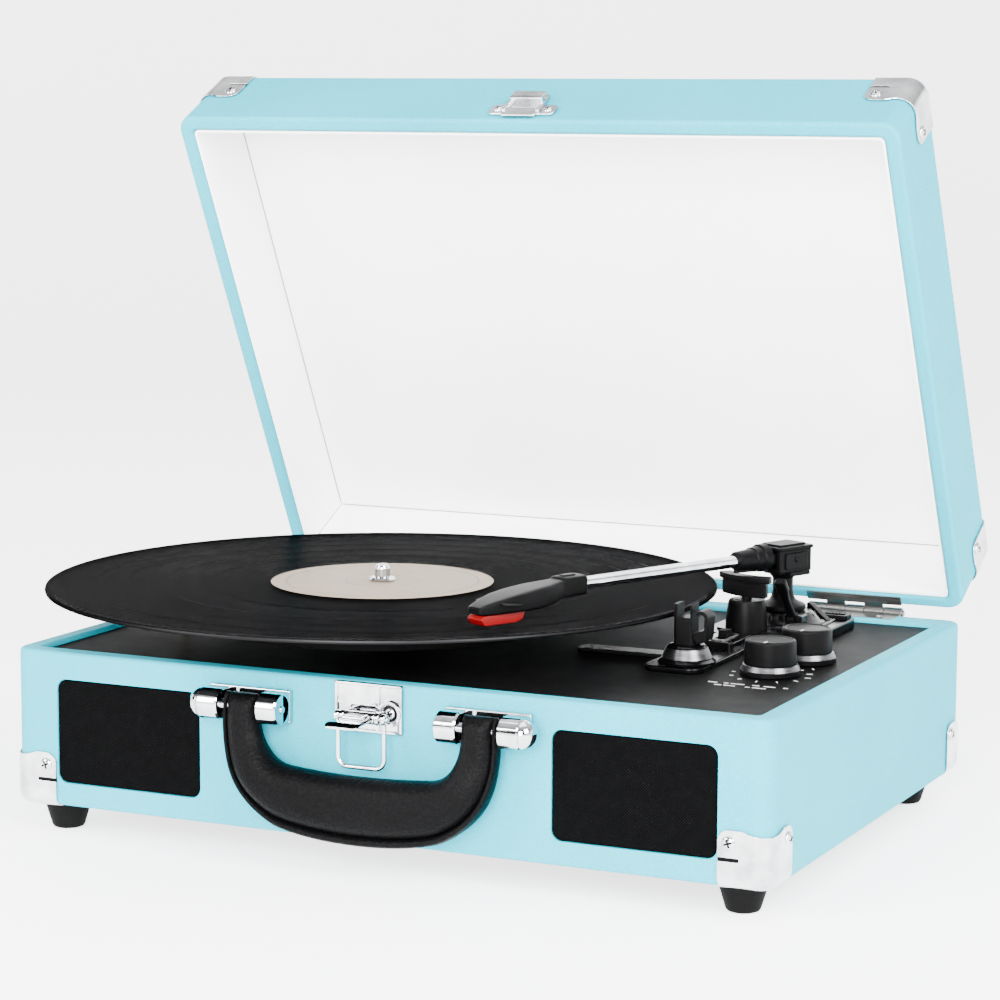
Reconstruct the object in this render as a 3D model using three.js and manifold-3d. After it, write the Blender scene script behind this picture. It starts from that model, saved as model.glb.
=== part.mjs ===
// Suitcase record player: a leatherette case with a hinged lid, a belt-driven platter carrying a
// twelve-inch record, a lifting tonearm, controls, speakers, a draw latch and a carrying handle.
// Millimetres, +Z up. The user stands on the -Y side; +X is to the user's right.
// Every piece is drawn about the case's plan centre with the case's underside on z = 10. The whole
// player is then shifted so that the middle of its footprint is the origin and the feet end at z = 0.

import * as THREE from 'three';
import { mergeVertices } from 'three/addons/utils/BufferGeometryUtils.js';
import Module from 'manifold-3d';

const wasm = await Module();
wasm.setup();

// ---------------------------------------------------------------- driving dimensions

const CASE_W = 350;
const CASE_D = 250;
const CASE_CORNER_R = 6;
const CASE_BOTTOM_Z = 10;
const FOOT_H = 13;
const BASE_H = 68;
const RIM_Z = CASE_BOTTOM_Z + BASE_H;
const LID_H = 43.2;
const SIDE_WALL = 9.2;
const REAR_WALL = 15;
const LID_WALL = 7;
const LID_REAR_WALL = 5.7;
const LID_PANEL = 2.1;
const LINER_T = 1;
const GAP = 0.3;
const LID_ANGLE_DEG = 63;
const HINGE_Y = CASE_D / 2 + 4.4;
const PLAYER_SHIFT = [14.1, -3.3, FOOT_H - CASE_BOTTOM_Z];

const DECK_TOP_Z = RIM_Z - 2.2;
const DECK_T = 3;
const DECK_BOTTOM_Z = DECK_TOP_Z - DECK_T;
const INNER_W = CASE_W - 2 * SIDE_WALL;
const INNER_FRONT_Y = -CASE_D / 2 + SIDE_WALL;
const INNER_REAR_Y = CASE_D / 2 - REAR_WALL;
const BOTTOM_PANEL_T = 3;

const SPINDLE = [-54, -10.5];
const RECORD_R = 150.3;
const RECORD_TOP_Z = 99.2;
const RECORD_T = 1.8;
const LABEL_R = 50;
const LABEL_T = 0.3;
const SLIP_MAT_T = 0.9;
const PLATTER_R = 97;
const PLATTER_TOP_Z = RECORD_TOP_Z - RECORD_T - SLIP_MAT_T - 0.3;
const PLATTER_H = 8.6;
const DRIVE_RING_R = 80;
const PULLEY_R = 5;
const MOTOR_ANGLE = 3.6;
const MOTOR = [
  SPINDLE[0] + (DRIVE_RING_R + PULLEY_R + 3) * Math.cos(MOTOR_ANGLE),
  SPINDLE[1] + (DRIVE_RING_R + PULLEY_R + 3) * Math.sin(MOTOR_ANGLE),
];
const BELT_T = 0.8;

const ARM_PIVOT = [108.5, 67];
const ARM_AZIMUTH = -113 * Math.PI / 180;
const ARM_AXIS_Z = 111.7;
const STYLUS_REACH = 178;
const TUBE_R = 2.7;
const HOOD_L = 20;
const HOOD_W = 15;
const HOOD_TOP_Z = 117.3;
const ARM_BASE_TOP_Z = DECK_TOP_Z + 5;
const LIFT_BAR_R = 27;
const ARM_REST = [102, -32];
const ARM_REST_TOP_Z = 104.2;
const CUE_LEVER = [117.5, 56, DECK_TOP_Z + 9];

const KNOBS = { volume_knob: [138, -28], mode_knob: [142, 5.5] };
const KNOB_R = 11;
const KNOB_SKIRT_R = 12.8;
const KNOB_TOP_Z = DECK_TOP_Z + 15.4;
const SPEED_SWITCH = [101, 15];
const STOP_SWITCH = [126, 88];

const GRILLE_X = 117;
const GRILLE_Z = 43;
const GRILLE_W = 71;
const GRILLE_H = 45.4;
const HANDLE_X = 55;
const HANDLE_PIVOT = [-134.5, 64.5];
const HANDLE_DROP = 54.4;
const HANDLE_LEG_W = 16;
const HANDLE_GRIP_H = 28;
const HANDLE_T = 17;
const LATCH_PIVOT = [-133, 64.4];
const WIRE_R = 1;
const HINGE_X = 122;
const HINGE_L = 46;
const FOOT_X = 158;
const FOOT_FRONT_Y = -109;
const FOOT_REAR_Y = 98;
const CORNER_LEG = 20.5;
const CORNER_T = 0.8;

// ---------------------------------------------------------------- finishes

function finish(color, roughness, metalness) {
  return new THREE.MeshStandardMaterial({ color, roughness, metalness });
}

const LEATHERETTE = finish(0x9fdbe8, 0.55, 0);
const LINING = finish(0xf2f1ee, 0.8, 0);
const BLACK_BOARD = finish(0x17171a, 0.7, 0);
const BLACK_PLASTIC = finish(0x1c1c1f, 0.45, 0);
const BLACK_RUBBER = finish(0x141414, 0.85, 0);
const HANDLE_BLACK = finish(0x222224, 0.6, 0);
const SPEAKER_CLOTH = finish(0x151515, 0.95, 0);
const CHROME = finish(0xe4e6e8, 0.12, 1);
const NICKEL = finish(0xc9c8c4, 0.3, 1);
const VINYL = finish(0x0b0b0c, 0.25, 0);
const LABEL_PAPER = finish(0xb9b0a0, 0.8, 0);
const FELT = finish(0x1b1b1d, 1, 0);
const STYLUS_RED = finish(0xc8202a, 0.4, 0);
const MOTOR_STEEL = finish(0x8f9295, 0.4, 1);
const BOARD_GREEN = finish(0x24573a, 0.6, 0);
const BRASS = finish(0xb58a3c, 0.35, 1);

// ---------------------------------------------------------------- solids

// A closed geometry as a solid: shared corners merged, flat slivers dropped, faces pointing out.
function solid(geometry) {
  const bare = geometry.index ? geometry.toNonIndexed() : geometry.clone();
  bare.deleteAttribute('normal');
  bare.deleteAttribute('uv');
  const merged = mergeVertices(bare, 1e-4);
  const p = merged.attributes.position.array;
  const faces = [];
  let volume = 0;
  for (let i = 0; i < merged.index.count; i += 3) {
    const [a, b, c] = [0, 1, 2].map((k) => merged.index.getX(i + k));
    if (a === b || b === c || c === a) continue;
    faces.push([a, b, c]);
    const [va, vb, vc] = [a, b, c].map((k) => new THREE.Vector3(p[3 * k], p[3 * k + 1], p[3 * k + 2]));
    volume += va.dot(vb.cross(vc));
  }
  const triVerts = new Uint32Array(faces.flatMap((f) => (volume > 0 ? f : [f[0], f[2], f[1]])));
  return new wasm.Manifold(new wasm.Mesh({ numProp: 3, vertProperties: new Float32Array(p), triVerts }));
}

function geometryOf(body) {
  const { vertProperties, triVerts } = body.getMesh();
  const geometry = new THREE.BufferGeometry();
  geometry.setAttribute('position', new THREE.BufferAttribute(vertProperties, 3));
  geometry.setIndex(new THREE.BufferAttribute(triVerts, 1));
  geometry.computeVertexNormals();
  return geometry;
}

function union(...bodies) {
  return bodies.reduce((joined, body) => joined.add(body));
}

function box(low, high) {
  const size = high.map((v, i) => v - low[i]);
  const geometry = new THREE.BoxGeometry(...size);
  geometry.translate(...low.map((v, i) => v + size[i] / 2));
  return solid(geometry);
}

function roundedRect(x0, y0, x1, y1, r) {
  const shape = new THREE.Shape();
  shape.moveTo(x0 + r, y0);
  shape.lineTo(x1 - r, y0);
  shape.absarc(x1 - r, y0 + r, r, -Math.PI / 2, 0, false);
  shape.lineTo(x1, y1 - r);
  shape.absarc(x1 - r, y1 - r, r, 0, Math.PI / 2, false);
  shape.lineTo(x0 + r, y1);
  shape.absarc(x0 + r, y1 - r, r, Math.PI / 2, Math.PI, false);
  shape.lineTo(x0, y0 + r);
  shape.absarc(x0 + r, y0 + r, r, Math.PI, Math.PI * 1.5, false);
  return shape;
}

// A plan outline raised from z0 to z1.
function raise(shape, z0, z1, curveSegments = 3) {
  const geometry = new THREE.ExtrudeGeometry(shape, { depth: z1 - z0, bevelEnabled: false, curveSegments });
  geometry.translate(0, 0, z0);
  return solid(geometry);
}

// An outline drawn in x and z, given depth from y0 back to y1.
function raiseInDepth(shape, y0, y1, curveSegments = 3) {
  const geometry = new THREE.ExtrudeGeometry(shape, { depth: y1 - y0, bevelEnabled: false, curveSegments });
  geometry.rotateX(Math.PI / 2);
  geometry.translate(0, y1, 0);
  return solid(geometry);
}

const TO_AXIS = { x: [0, 0, -Math.PI / 2], y: [0, 0, 0], z: [Math.PI / 2, 0, 0] };

// A cylinder or cone from one centre along an axis; r1 is the radius at the far end.
function rod(axis, start, length, r0, r1 = r0, segments = 14) {
  const geometry = new THREE.CylinderGeometry(r1, r0, length, segments);
  geometry.translate(0, length / 2, 0);
  geometry.rotateX(TO_AXIS[axis][0]);
  geometry.rotateZ(TO_AXIS[axis][2]);
  geometry.translate(...start);
  return solid(geometry);
}

// A profile of [radius, height] points turned about a vertical line through (x, y).
function turned(profile, x, y, segments) {
  const geometry = new THREE.LatheGeometry(profile.map(([r, z]) => new THREE.Vector2(r, z)), segments);
  geometry.rotateX(Math.PI / 2);
  geometry.translate(x, y, 0);
  return solid(geometry);
}

function ring(rIn, rOut, z0, z1, x, y, segments) {
  return turned([[rIn, z0], [rOut, z0], [rOut, z1], [rIn, z1], [rIn, z0]], x, y, segments);
}

// A wire or pipe along a curve.
function alongCurve(curve, radius, steps, halfSides = 4) {
  const section = new THREE.Shape();
  section.absarc(0, 0, radius, 0, Math.PI * 2, false);
  const options = { steps, bevelEnabled: false, extrudePath: curve, curveSegments: halfSides };
  return solid(new THREE.ExtrudeGeometry(section, options));
}

const player = new THREE.Group();
player.position.set(...PLAYER_SHIFT);
const lid = new THREE.Group();
lid.position.set(0, HINGE_Y, RIM_Z);
lid.rotation.x = -THREE.MathUtils.degToRad(LID_ANGLE_DEG);
player.add(lid);

function piece(name, body, material, parent = player) {
  const mesh = new THREE.Mesh(geometryOf(body), material);
  mesh.name = name;
  parent.add(mesh);
}

// Left and right twins, or all four corners, as [suffix, x sign, y sign].
const SIDES = [['left', -1], ['right', 1]];
const CORNERS = [
  ['front_left', -1, -1],
  ['front_right', 1, -1],
  ['rear_left', -1, 1],
  ['rear_right', 1, 1],
];

// ---------------------------------------------------------------- case, deck and feet

function caseOutline(grow = 0) {
  const x = CASE_W / 2 + grow;
  const y = CASE_D / 2 + grow;
  return roundedRect(-x, -y, x, y, CASE_CORNER_R + grow);
}

function innerOutline(shrink) {
  return roundedRect(
    -INNER_W / 2 + shrink, INNER_FRONT_Y + shrink, INNER_W / 2 - shrink, INNER_REAR_Y - shrink, 3);
}

function grilleOutline(sign, shrink) {
  const x = sign * GRILLE_X;
  const halfW = GRILLE_W / 2 - shrink;
  const halfH = GRILLE_H / 2 - shrink;
  return roundedRect(x - halfW, GRILLE_Z - halfH, x + halfW, GRILLE_Z + halfH, 4);
}

function hingeRecess(sign) {
  const x = sign * HINGE_X;
  const half = HINGE_L / 2 + GAP;
  return box([x - half, CASE_D / 2 - 12.4, RIM_Z - 1.1], [x + half, CASE_D / 2 + 1, RIM_Z + 1]);
}

const SOCKET_PLATE = { x: 95, z: 40, w: 62, h: 24 };

function buildBaseCase() {
  let body = raise(caseOutline(), CASE_BOTTOM_Z, RIM_Z - GAP)
    .subtract(raise(innerOutline(0), CASE_BOTTOM_Z - 1, RIM_Z + 1));
  for (const [, sign] of SIDES) {
    body = body.subtract(raiseInDepth(grilleOutline(sign, 0), -CASE_D / 2 - 1, INNER_FRONT_Y + 1));
    body = body.subtract(hingeRecess(sign));
  }
  const { x, z, w, h } = SOCKET_PLATE;
  body = body.subtract(box([x - w / 2, INNER_REAR_Y - 1, z - h / 2], [x + w / 2, CASE_D / 2 + 1, z + h / 2]));
  piece('base_case', body, LEATHERETTE);
}

function buildDeck() {
  const holes = [
    rod('z', [...SPINDLE, 0], 100, 11.4, 11.4, 24),
    rod('z', [...MOTOR, 0], 100, 6.4),
    rod('z', [...ARM_PIVOT, 0], 100, 6.5),
    rod('z', [...liftBarRoot(), 0], 100, 3.2),
    ...Object.values(KNOBS).map((place) => rod('z', [...place, 0], 100, 3.5)),
  ];
  let deck = raise(innerOutline(GAP), DECK_BOTTOM_Z, DECK_TOP_Z);
  holes.forEach((hole) => { deck = deck.subtract(hole); });
  piece('deck_plate', deck, BLACK_BOARD);
  piece('bottom_panel', raise(innerOutline(GAP), CASE_BOTTOM_Z, CASE_BOTTOM_Z + BOTTOM_PANEL_T), BLACK_BOARD);
}

function buildFeet() {
  for (const [where, sx, sy] of CORNERS) {
    const y = sy < 0 ? FOOT_FRONT_Y : FOOT_REAR_Y;
    const low = CASE_BOTTOM_Z - FOOT_H;
    const high = CASE_BOTTOM_Z - 0.1;
    const profile = [[0, low], [6.6, low], [7.4, low + 0.8], [10.1, high - 1], [10.3, high], [0, high]];
    piece(`foot_${where}`, turned(profile, sx * FOOT_X, y, 16), BLACK_RUBBER);
  }
}

// A three-sided metal cap over one bottom or top corner of a box; z0 is the capped face, the cap
// climbs away from it in the direction of up, and relief is the round cut in its flat leg.
function cornerCap(sx, sy, z0, up, relief) {
  const clear = GAP;
  const face = z0 - up * clear;
  const outer = [face - up * CORNER_T, face + up * (CORNER_LEG + 2)].sort((a, b) => a - b);
  const inner = [face, face + up * 60].sort((a, b) => a - b);
  let cap = raise(caseOutline(clear + CORNER_T), ...outer).subtract(raise(caseOutline(clear), ...inner));
  const edgeX = sx * (CASE_W / 2 + 3);
  const edgeY = sy * (CASE_D / 2 + 3);
  const xs = [edgeX, edgeX - sx * (CORNER_LEG + 3)].sort((a, b) => a - b);
  const ys = [edgeY, edgeY - sy * (CORNER_LEG + 3)].sort((a, b) => a - b);
  const zs = [z0 - 4, z0 + 40, z0 - 40, z0 + 4].sort((a, b) => a - b);
  cap = cap.intersect(box([xs[0], ys[0], zs[0]], [xs[1], ys[1], zs[3]]));
  const dipZ = z0 + up * (CORNER_LEG + 10);
  const dipX = sx * (CASE_W / 2 - CORNER_LEG / 2);
  const dipY = sy * (CASE_D / 2 - CORNER_LEG / 2);
  cap = cap.subtract(rod('y', [dipX, edgeY - sy * 5 - 5, dipZ], 10, 12, 12));
  cap = cap.subtract(rod('x', [edgeX - sx * 5 - 5, dipY, dipZ], 10, 12, 12));
  return cap.subtract(rod('z', [relief.x, relief.y, z0 - 10], 20, relief.r, relief.r));
}

function buildBaseCorners() {
  for (const [where, sx, sy] of CORNERS) {
    const relief = { x: sx * FOOT_X, y: sy < 0 ? FOOT_FRONT_Y : FOOT_REAR_Y, r: 11.5 };
    piece(`base_corner_${where}`, cornerCap(sx, sy, CASE_BOTTOM_Z, 1, relief), CHROME);
  }
}

function buildSpeakers() {
  for (const [side, sign] of SIDES) {
    const front = -CASE_D / 2 + 0.5;
    piece(`speaker_grille_${side}`, raiseInDepth(grilleOutline(sign, GAP), front, front + 2.5), SPEAKER_CLOTH);
    const y = INNER_FRONT_Y + GAP;
    const centre = [sign * GRILLE_X, y, GRILLE_Z];
    const flange = rod('y', centre, 2, 27, 27);
    const basket = rod('y', [centre[0], y + 2, centre[2]], 11, 24, 13);
    const magnet = rod('y', [centre[0], y + 13, centre[2]], 9, 15, 15);
    const cone = rod('y', [centre[0], y - 1, centre[2]], 11, 23, 7);
    piece(`speaker_driver_${side}`, union(flange, basket, magnet).subtract(cone), MOTOR_STEEL);
  }
}

function buildElectronics() {
  const board = box([70, -70, 54], [158, 30, 55.6]);
  const pots = Object.values(KNOBS).map((place) => rod('z', [...place, 55.5], 11.5, 8.5));
  const chips = box([80, -60, 55.5], [104, -44, 62]);
  piece('circuit_board', union(board, chips, ...pots), BOARD_GREEN);
  const { x, z, w, h } = SOCKET_PLATE;
  const back = CASE_D / 2 - 0.6;
  let plate = box([x - w / 2 + GAP, back - 6, z - h / 2 + GAP], [x + w / 2 - GAP, back, z + h / 2 - GAP]);
  plate = plate.add(box([x - w / 2 + 4, back - 16, z - 8], [x + w / 2 - 4, back - 5, z + 8]));
  plate = plate.subtract(rod('y', [x + 20, back - 10, z], 20, 3.3));
  plate = plate.subtract(rod('y', [x + 6, back - 10, z], 20, 1.9));
  for (const dx of [-8, -21]) {
    plate = plate.add(rod('y', [x + dx, back - 1, z], 6, 4.1));
  }
  piece('rear_socket_panel', plate, BLACK_PLASTIC);
}

// ---------------------------------------------------------------- platter, record and drive

function buildPlatter() {
  const top = PLATTER_TOP_Z;
  const low = top - PLATTER_H;
  const profile = [
    [5, top], [5, low - 6], [13, low - 6], [13, top - 2.4], [DRIVE_RING_R - 2, top - 2.4],
    [DRIVE_RING_R - 2, low - 5.6], [DRIVE_RING_R, low - 5.6], [DRIVE_RING_R, top - 2.6],
    [PLATTER_R - 2.5, top - 2.8], [PLATTER_R - 2.5, low], [PLATTER_R, low], [PLATTER_R, top - 0.8],
    [PLATTER_R - 0.8, top], [5, top],
  ];
  piece('platter', turned(profile, ...SPINDLE, 40), BLACK_PLASTIC);
  const nose = RECORD_TOP_Z + 8;
  const spindle = [
    [0, 63], [3.4, 63], [3.4, low - 4], [4.6, low - 4], [4.6, top - 0.6], [3.5, top - 0.6],
    [3.5, nose - 2], [2.4, nose - 0.5], [0, nose],
  ];
  piece('spindle', turned(spindle, ...SPINDLE, 16), CHROME);
  const matTop = RECORD_TOP_Z - RECORD_T - 0.2;
  piece('slip_mat', ring(4, PLATTER_R - 2, matTop - SLIP_MAT_T, matTop, ...SPINDLE, 40), FELT);
  const bottom = RECORD_TOP_Z - RECORD_T;
  const disc = [
    [3.8, bottom], [RECORD_R - 1, bottom], [RECORD_R, bottom + RECORD_T / 2],
    [RECORD_R - 1, RECORD_TOP_Z], [3.8, RECORD_TOP_Z], [3.8, bottom],
  ];
  piece('record', turned(disc, ...SPINDLE, 56), VINYL);
  const labelZ = RECORD_TOP_Z + 0.05;
  piece('record_label', ring(3.8, LABEL_R, labelZ, labelZ + LABEL_T, ...SPINDLE, 40), LABEL_PAPER);
  const bearing = [
    [3.6, 58], [8, 58], [8, 70], [11, 70], [11, DECK_TOP_Z + 3], [8, DECK_TOP_Z + 4.4],
    [3.6, DECK_TOP_Z + 4.4], [3.6, 58],
  ];
  piece('spindle_bearing', turned(bearing, ...SPINDLE, 16), BRASS);
}

// The belt's outline round the drive ring and the pulley, standing off both by stand.
function beltOutline(stand) {
  const span = Math.hypot(MOTOR[0] - SPINDLE[0], MOTOR[1] - SPINDLE[1]);
  const big = DRIVE_RING_R + stand;
  const small = PULLEY_R + stand;
  const lean = Math.acos((big - small) / span);
  const shape = new THREE.Shape();
  shape.absarc(...SPINDLE, big, MOTOR_ANGLE + lean, MOTOR_ANGLE - lean + Math.PI * 2, false);
  shape.absarc(...MOTOR, small, MOTOR_ANGLE - lean, MOTOR_ANGLE + lean, false);
  return shape;
}

function buildDrive() {
  const low = PLATTER_TOP_Z - PLATTER_H;
  const belt = raise(beltOutline(GAP + BELT_T), low - 5, low - 1, 24)
    .subtract(raise(beltOutline(GAP), low - 6, low, 24));
  piece('drive_belt', belt, BLACK_RUBBER);
  const motorTop = DECK_BOTTOM_Z - GAP;
  const can = rod('z', [...MOTOR, motorTop - 22], 22, 17);
  const boss = rod('z', [...MOTOR, motorTop - 25], 3.1, 5);
  const bore = rod('z', [...MOTOR, motorTop - 14], 20, 1.5);
  piece('motor', union(can, boss).subtract(bore), MOTOR_STEEL);
  const pulley = [
    [0, motorTop - 10], [1.2, motorTop - 10], [1.2, low - 6.4], [PULLEY_R + 1.4, low - 6.4],
    [PULLEY_R, low - 5.4], [PULLEY_R, low - 0.6], [PULLEY_R + 1.4, low + 0.4], [0, low + 0.4],
  ];
  piece('motor_pulley', turned(pulley, ...MOTOR, 16), BRASS);
}

// ---------------------------------------------------------------- tonearm

// Places a solid drawn with the arm along +X and its pivot at the origin.
function onArm(body) {
  return body.rotate([0, 0, ARM_AZIMUTH * 180 / Math.PI]).translate([...ARM_PIVOT, ARM_AXIS_Z]);
}

function aroundPivot(radius, azimuth) {
  return [ARM_PIVOT[0] + radius * Math.cos(azimuth), ARM_PIVOT[1] + radius * Math.sin(azimuth)];
}

function liftBarRoot() {
  return aroundPivot(LIFT_BAR_R, ARM_AZIMUTH + 0.12);
}

function buildArmBase() {
  const z0 = DECK_TOP_Z + 0.05;
  let body = raise(roundedRect(82, 30, 134, 99, 8), z0, ARM_BASE_TOP_Z);
  body = body.add(raise(roundedRect(86, -44, 112, 40, 6), z0, z0 + 2.6));
  body = body.add(raise(roundedRect(44, -17, 100, -6, 3), z0, z0 + 2.2));
  body = body.add(turned([[0, z0], [19, z0], [15, z0 + 9.5], [13, z0 + 11], [0, z0 + 11]], ...ARM_PIVOT, 18));
  const [sx, sy] = SPEED_SWITCH;
  body = body.add(raise(roundedRect(sx - 8, sy - 12, sx + 8, sy + 12, 2), z0, z0 + 6));
  body = body.subtract(box([sx - 2.6, sy - 8, z0 + 1], [sx + 2.6, sy + 8, z0 + 10]));
  const [px, py] = STOP_SWITCH;
  body = body.subtract(box([px - 5.2, py - 2.2, z0 + 1], [px + 5.2, py + 2.2, z0 + 10]));
  const [lx, ly, lz] = CUE_LEVER;
  for (const dx of [-5.6, 2.4]) {
    body = body.add(box([lx + dx, ly - 4, z0 + 3], [lx + dx + 3.2, ly + 4, lz + 2.2]));
  }
  body = body.subtract(box([lx - 2.4, ly - 12, z0 + 1.6], [lx + 2.4, ly + 9, lz + 20]));
  body = body.add(rod('x', [lx - 3, ly, lz], 6, 1.2));
  body = body.subtract(rod('z', [...ARM_PIVOT, 60], 60, 5.9));
  body = body.subtract(rod('z', [...liftBarRoot(), 60], 60, 2.5));
  piece('tonearm_base', body, BLACK_PLASTIC);
}

function buildArmRest() {
  const z0 = DECK_TOP_Z + 2.9;
  const foot = [[0, z0], [12, z0], [12.4, z0 + 1.2], [9.6, z0 + 4], [7, z0 + 7.4], [5, z0 + 8.2], [0, z0 + 8.2]];
  const [x, y] = ARM_REST;
  let post = turned(foot, x, y, 16).add(rod('z', [x, y, z0 + 8], ARM_REST_TOP_Z - z0 - 8, 4.6, 5));
  post = post.subtract(box([x - 2.9, y - 9, ARM_REST_TOP_Z - 6], [x + 2.9, y + 9, ARM_REST_TOP_Z + 2]));
  post = post.subtract(box([x + 3.6, y - 9, ARM_REST_TOP_Z - 12], [x + 8, y + 9, ARM_REST_TOP_Z + 2]));
  post = post.add(box([x + 3, y - 2.4, z0 + 9], [x + 7.2, y + 2.4, z0 + 13]));
  post = post.add(rod('y', [x + 7.4, y - 3.6, z0 + 12.4], 7.2, 1.3));
  piece('tonearm_rest', post, BLACK_PLASTIC);
  const pin = [x + 7.4, z0 + 12.4];
  const clip = new THREE.Shape();
  clip.absarc(pin[0], pin[1], 3, Math.PI * 1.05, Math.PI * 1.95, false);
  clip.lineTo(pin[0] + 3.2, pin[1] + 8);
  clip.absarc(pin[0] + 0.2, pin[1] + 8, 3, 0, Math.PI * 0.8, false);
  clip.lineTo(pin[0] + 0.2, pin[1] + 7.6);
  clip.lineTo(pin[0] + 0.2, pin[1] + 2.4);
  let hook = raiseInDepth(clip, y - 5.6, y + 5.6, 8);
  hook = hook.subtract(box([x, y - 2.8, z0], [pin[0] + 3.4, y + 2.8, pin[1] + 3.4]));
  hook = hook.subtract(rod('y', [pin[0], y - 9, pin[1]], 18, 1.5));
  piece('rest_clip', hook, BLACK_PLASTIC);
}

function buildArmYaw() {
  const hoodLow = ARM_AXIS_Z - 7;
  const column = [
    [0, 70], [5.6, 70], [5.6, ARM_BASE_TOP_Z + 6.5], [10.5, ARM_BASE_TOP_Z + 6.5],
    [10.5, ARM_BASE_TOP_Z + 9], [5.4, ARM_BASE_TOP_Z + 12], [4.6, hoodLow - 0.2], [0, hoodLow - 0.2],
  ];
  piece('tonearm_column', turned(column, ...ARM_PIVOT, 16), BLACK_PLASTIC);
  const low = hoodLow - ARM_AXIS_Z;
  const top = HOOD_TOP_Z - ARM_AXIS_Z;
  let hood = box([-HOOD_L / 2, -HOOD_W / 2, low], [HOOD_L / 2, HOOD_W / 2, top - 1.4]);
  hood = hood.add(box([-HOOD_L / 2 - 1, -HOOD_W / 2 - 1, top - 2.6], [HOOD_L / 2 + 1, HOOD_W / 2 + 1, top - 1]));
  hood = hood.add(box([-HOOD_L / 2 + 2, -HOOD_W / 2 + 2, top - 1.2], [HOOD_L / 2 - 2, HOOD_W / 2 - 2, top]));
  hood = hood.subtract(box([-HOOD_L / 2 + 2, -5.2, low + 1.6], [HOOD_L / 2 + 2, 5.2, top - 1.2]));
  hood = hood.add(rod('y', [0, -HOOD_W / 2 - 0.6, 0], HOOD_W + 1.2, 1.1, 1.1, 12));
  piece('tonearm_hood', onArm(hood), BLACK_PLASTIC);
}

function buildArmLift() {
  let collar = box([-6, -4.6, -3], [HOOD_L / 2 + 2.4, 4.6, 3]);
  const neck = rod('x', [HOOD_L / 2 + 2, 0, 0], 19.4, 6.2, 4, 12);
  collar = collar.add(neck);
  collar = collar.subtract(rod('y', [0, -9, 0], 18, 1.35, 1.35, 12));
  collar = collar.subtract(rod('x', [HOOD_L / 2 + 12, 0, 0], 20, TUBE_R + 0.15));
  piece('tonearm_collar', onArm(collar), BLACK_PLASTIC);
  const tubeStart = HOOD_L / 2 + 12.2;
  piece('tonearm_tube', onArm(rod('x', [tubeStart, 0, 0], 127 - tubeStart, TUBE_R)), CHROME);

  const side = new THREE.Shape();
  const tip = STYLUS_REACH + 6;
  const floor = RECORD_TOP_Z + 5.4 - ARM_AXIS_Z;
  side.moveTo(119, 4.2);
  side.lineTo(131, 4.2);
  side.lineTo(138, 3.2);
  side.quadraticCurveTo(165, 1.4, tip - 4, -2.2);
  side.lineTo(tip, floor + 1);
  side.lineTo(tip - 1, floor);
  side.lineTo(150, floor);
  side.quadraticCurveTo(140, -5, 131, -4.4);
  side.lineTo(119, -4.2);
  const plan = new THREE.Shape();
  plan.moveTo(118, -4.6);
  plan.lineTo(133, -4.6);
  plan.quadraticCurveTo(150, -8.2, 168, -8.2);
  plan.lineTo(tip + 1, -4.2);
  plan.lineTo(tip + 1, 4.2);
  plan.lineTo(168, 8.2);
  plan.quadraticCurveTo(150, 8.2, 133, 4.6);
  plan.lineTo(118, 4.6);
  let shell = raiseInDepth(side, -12, 12, 6).intersect(raise(plan, -20, 20, 6));
  shell = shell.subtract(rod('x', [110, 0, 0], 17.3, TUBE_R + 0.15));
  piece('headshell', onArm(shell), BLACK_PLASTIC);

  const top = floor - 0.1;
  const body = new THREE.Shape();
  body.moveTo(tip - 1.5, top);
  body.lineTo(tip + 0.5, top - 1.5);
  body.lineTo(tip - 2, top - 4.2);
  body.lineTo(163, top - 4.2);
  body.lineTo(160, top);
  let stylus = raiseInDepth(body, -4.6, 4.6, 2);
  stylus = stylus.add(rod('z', [STYLUS_REACH, 0, RECORD_TOP_Z + 0.5 - ARM_AXIS_Z], 2, 0.35, 0.9, 8));
  piece('stylus_holder', onArm(stylus), STYLUS_RED);
}

function buildCueing() {
  const top = 105.4;
  const sweep = new THREE.Shape();
  const from = ARM_AZIMUTH - 0.5;
  const to = ARM_AZIMUTH + 0.55;
  sweep.absarc(...ARM_PIVOT, LIFT_BAR_R + 3, from, to, false);
  sweep.absarc(...ARM_PIVOT, LIFT_BAR_R - 3, to, from, true);
  const bar = raise(sweep, top - 3, top, 12).add(rod('z', [...liftBarRoot(), 66], top - 67, 2.2));
  piece('cue_lift_bar', bar, BLACK_PLASTIC);
  const [x, y, z] = CUE_LEVER;
  const lean = THREE.MathUtils.degToRad(42);
  let lever = rod('x', [-1.8, 0, 0], 3.6, 3.2);
  lever = lever.add(box([-1.5, -1.6, 0], [1.5, 1.6, 25])).add(box([-1.8, -2.6, 19], [1.8, 2.6, 26.5]));
  lever = lever.subtract(rod('x', [-5, 0, 0], 10, 1.4));
  piece('cue_lever', lever.rotate([lean * 180 / Math.PI, 0, 0]).translate([x, y, z]), BLACK_PLASTIC);
}

// ---------------------------------------------------------------- controls

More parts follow.
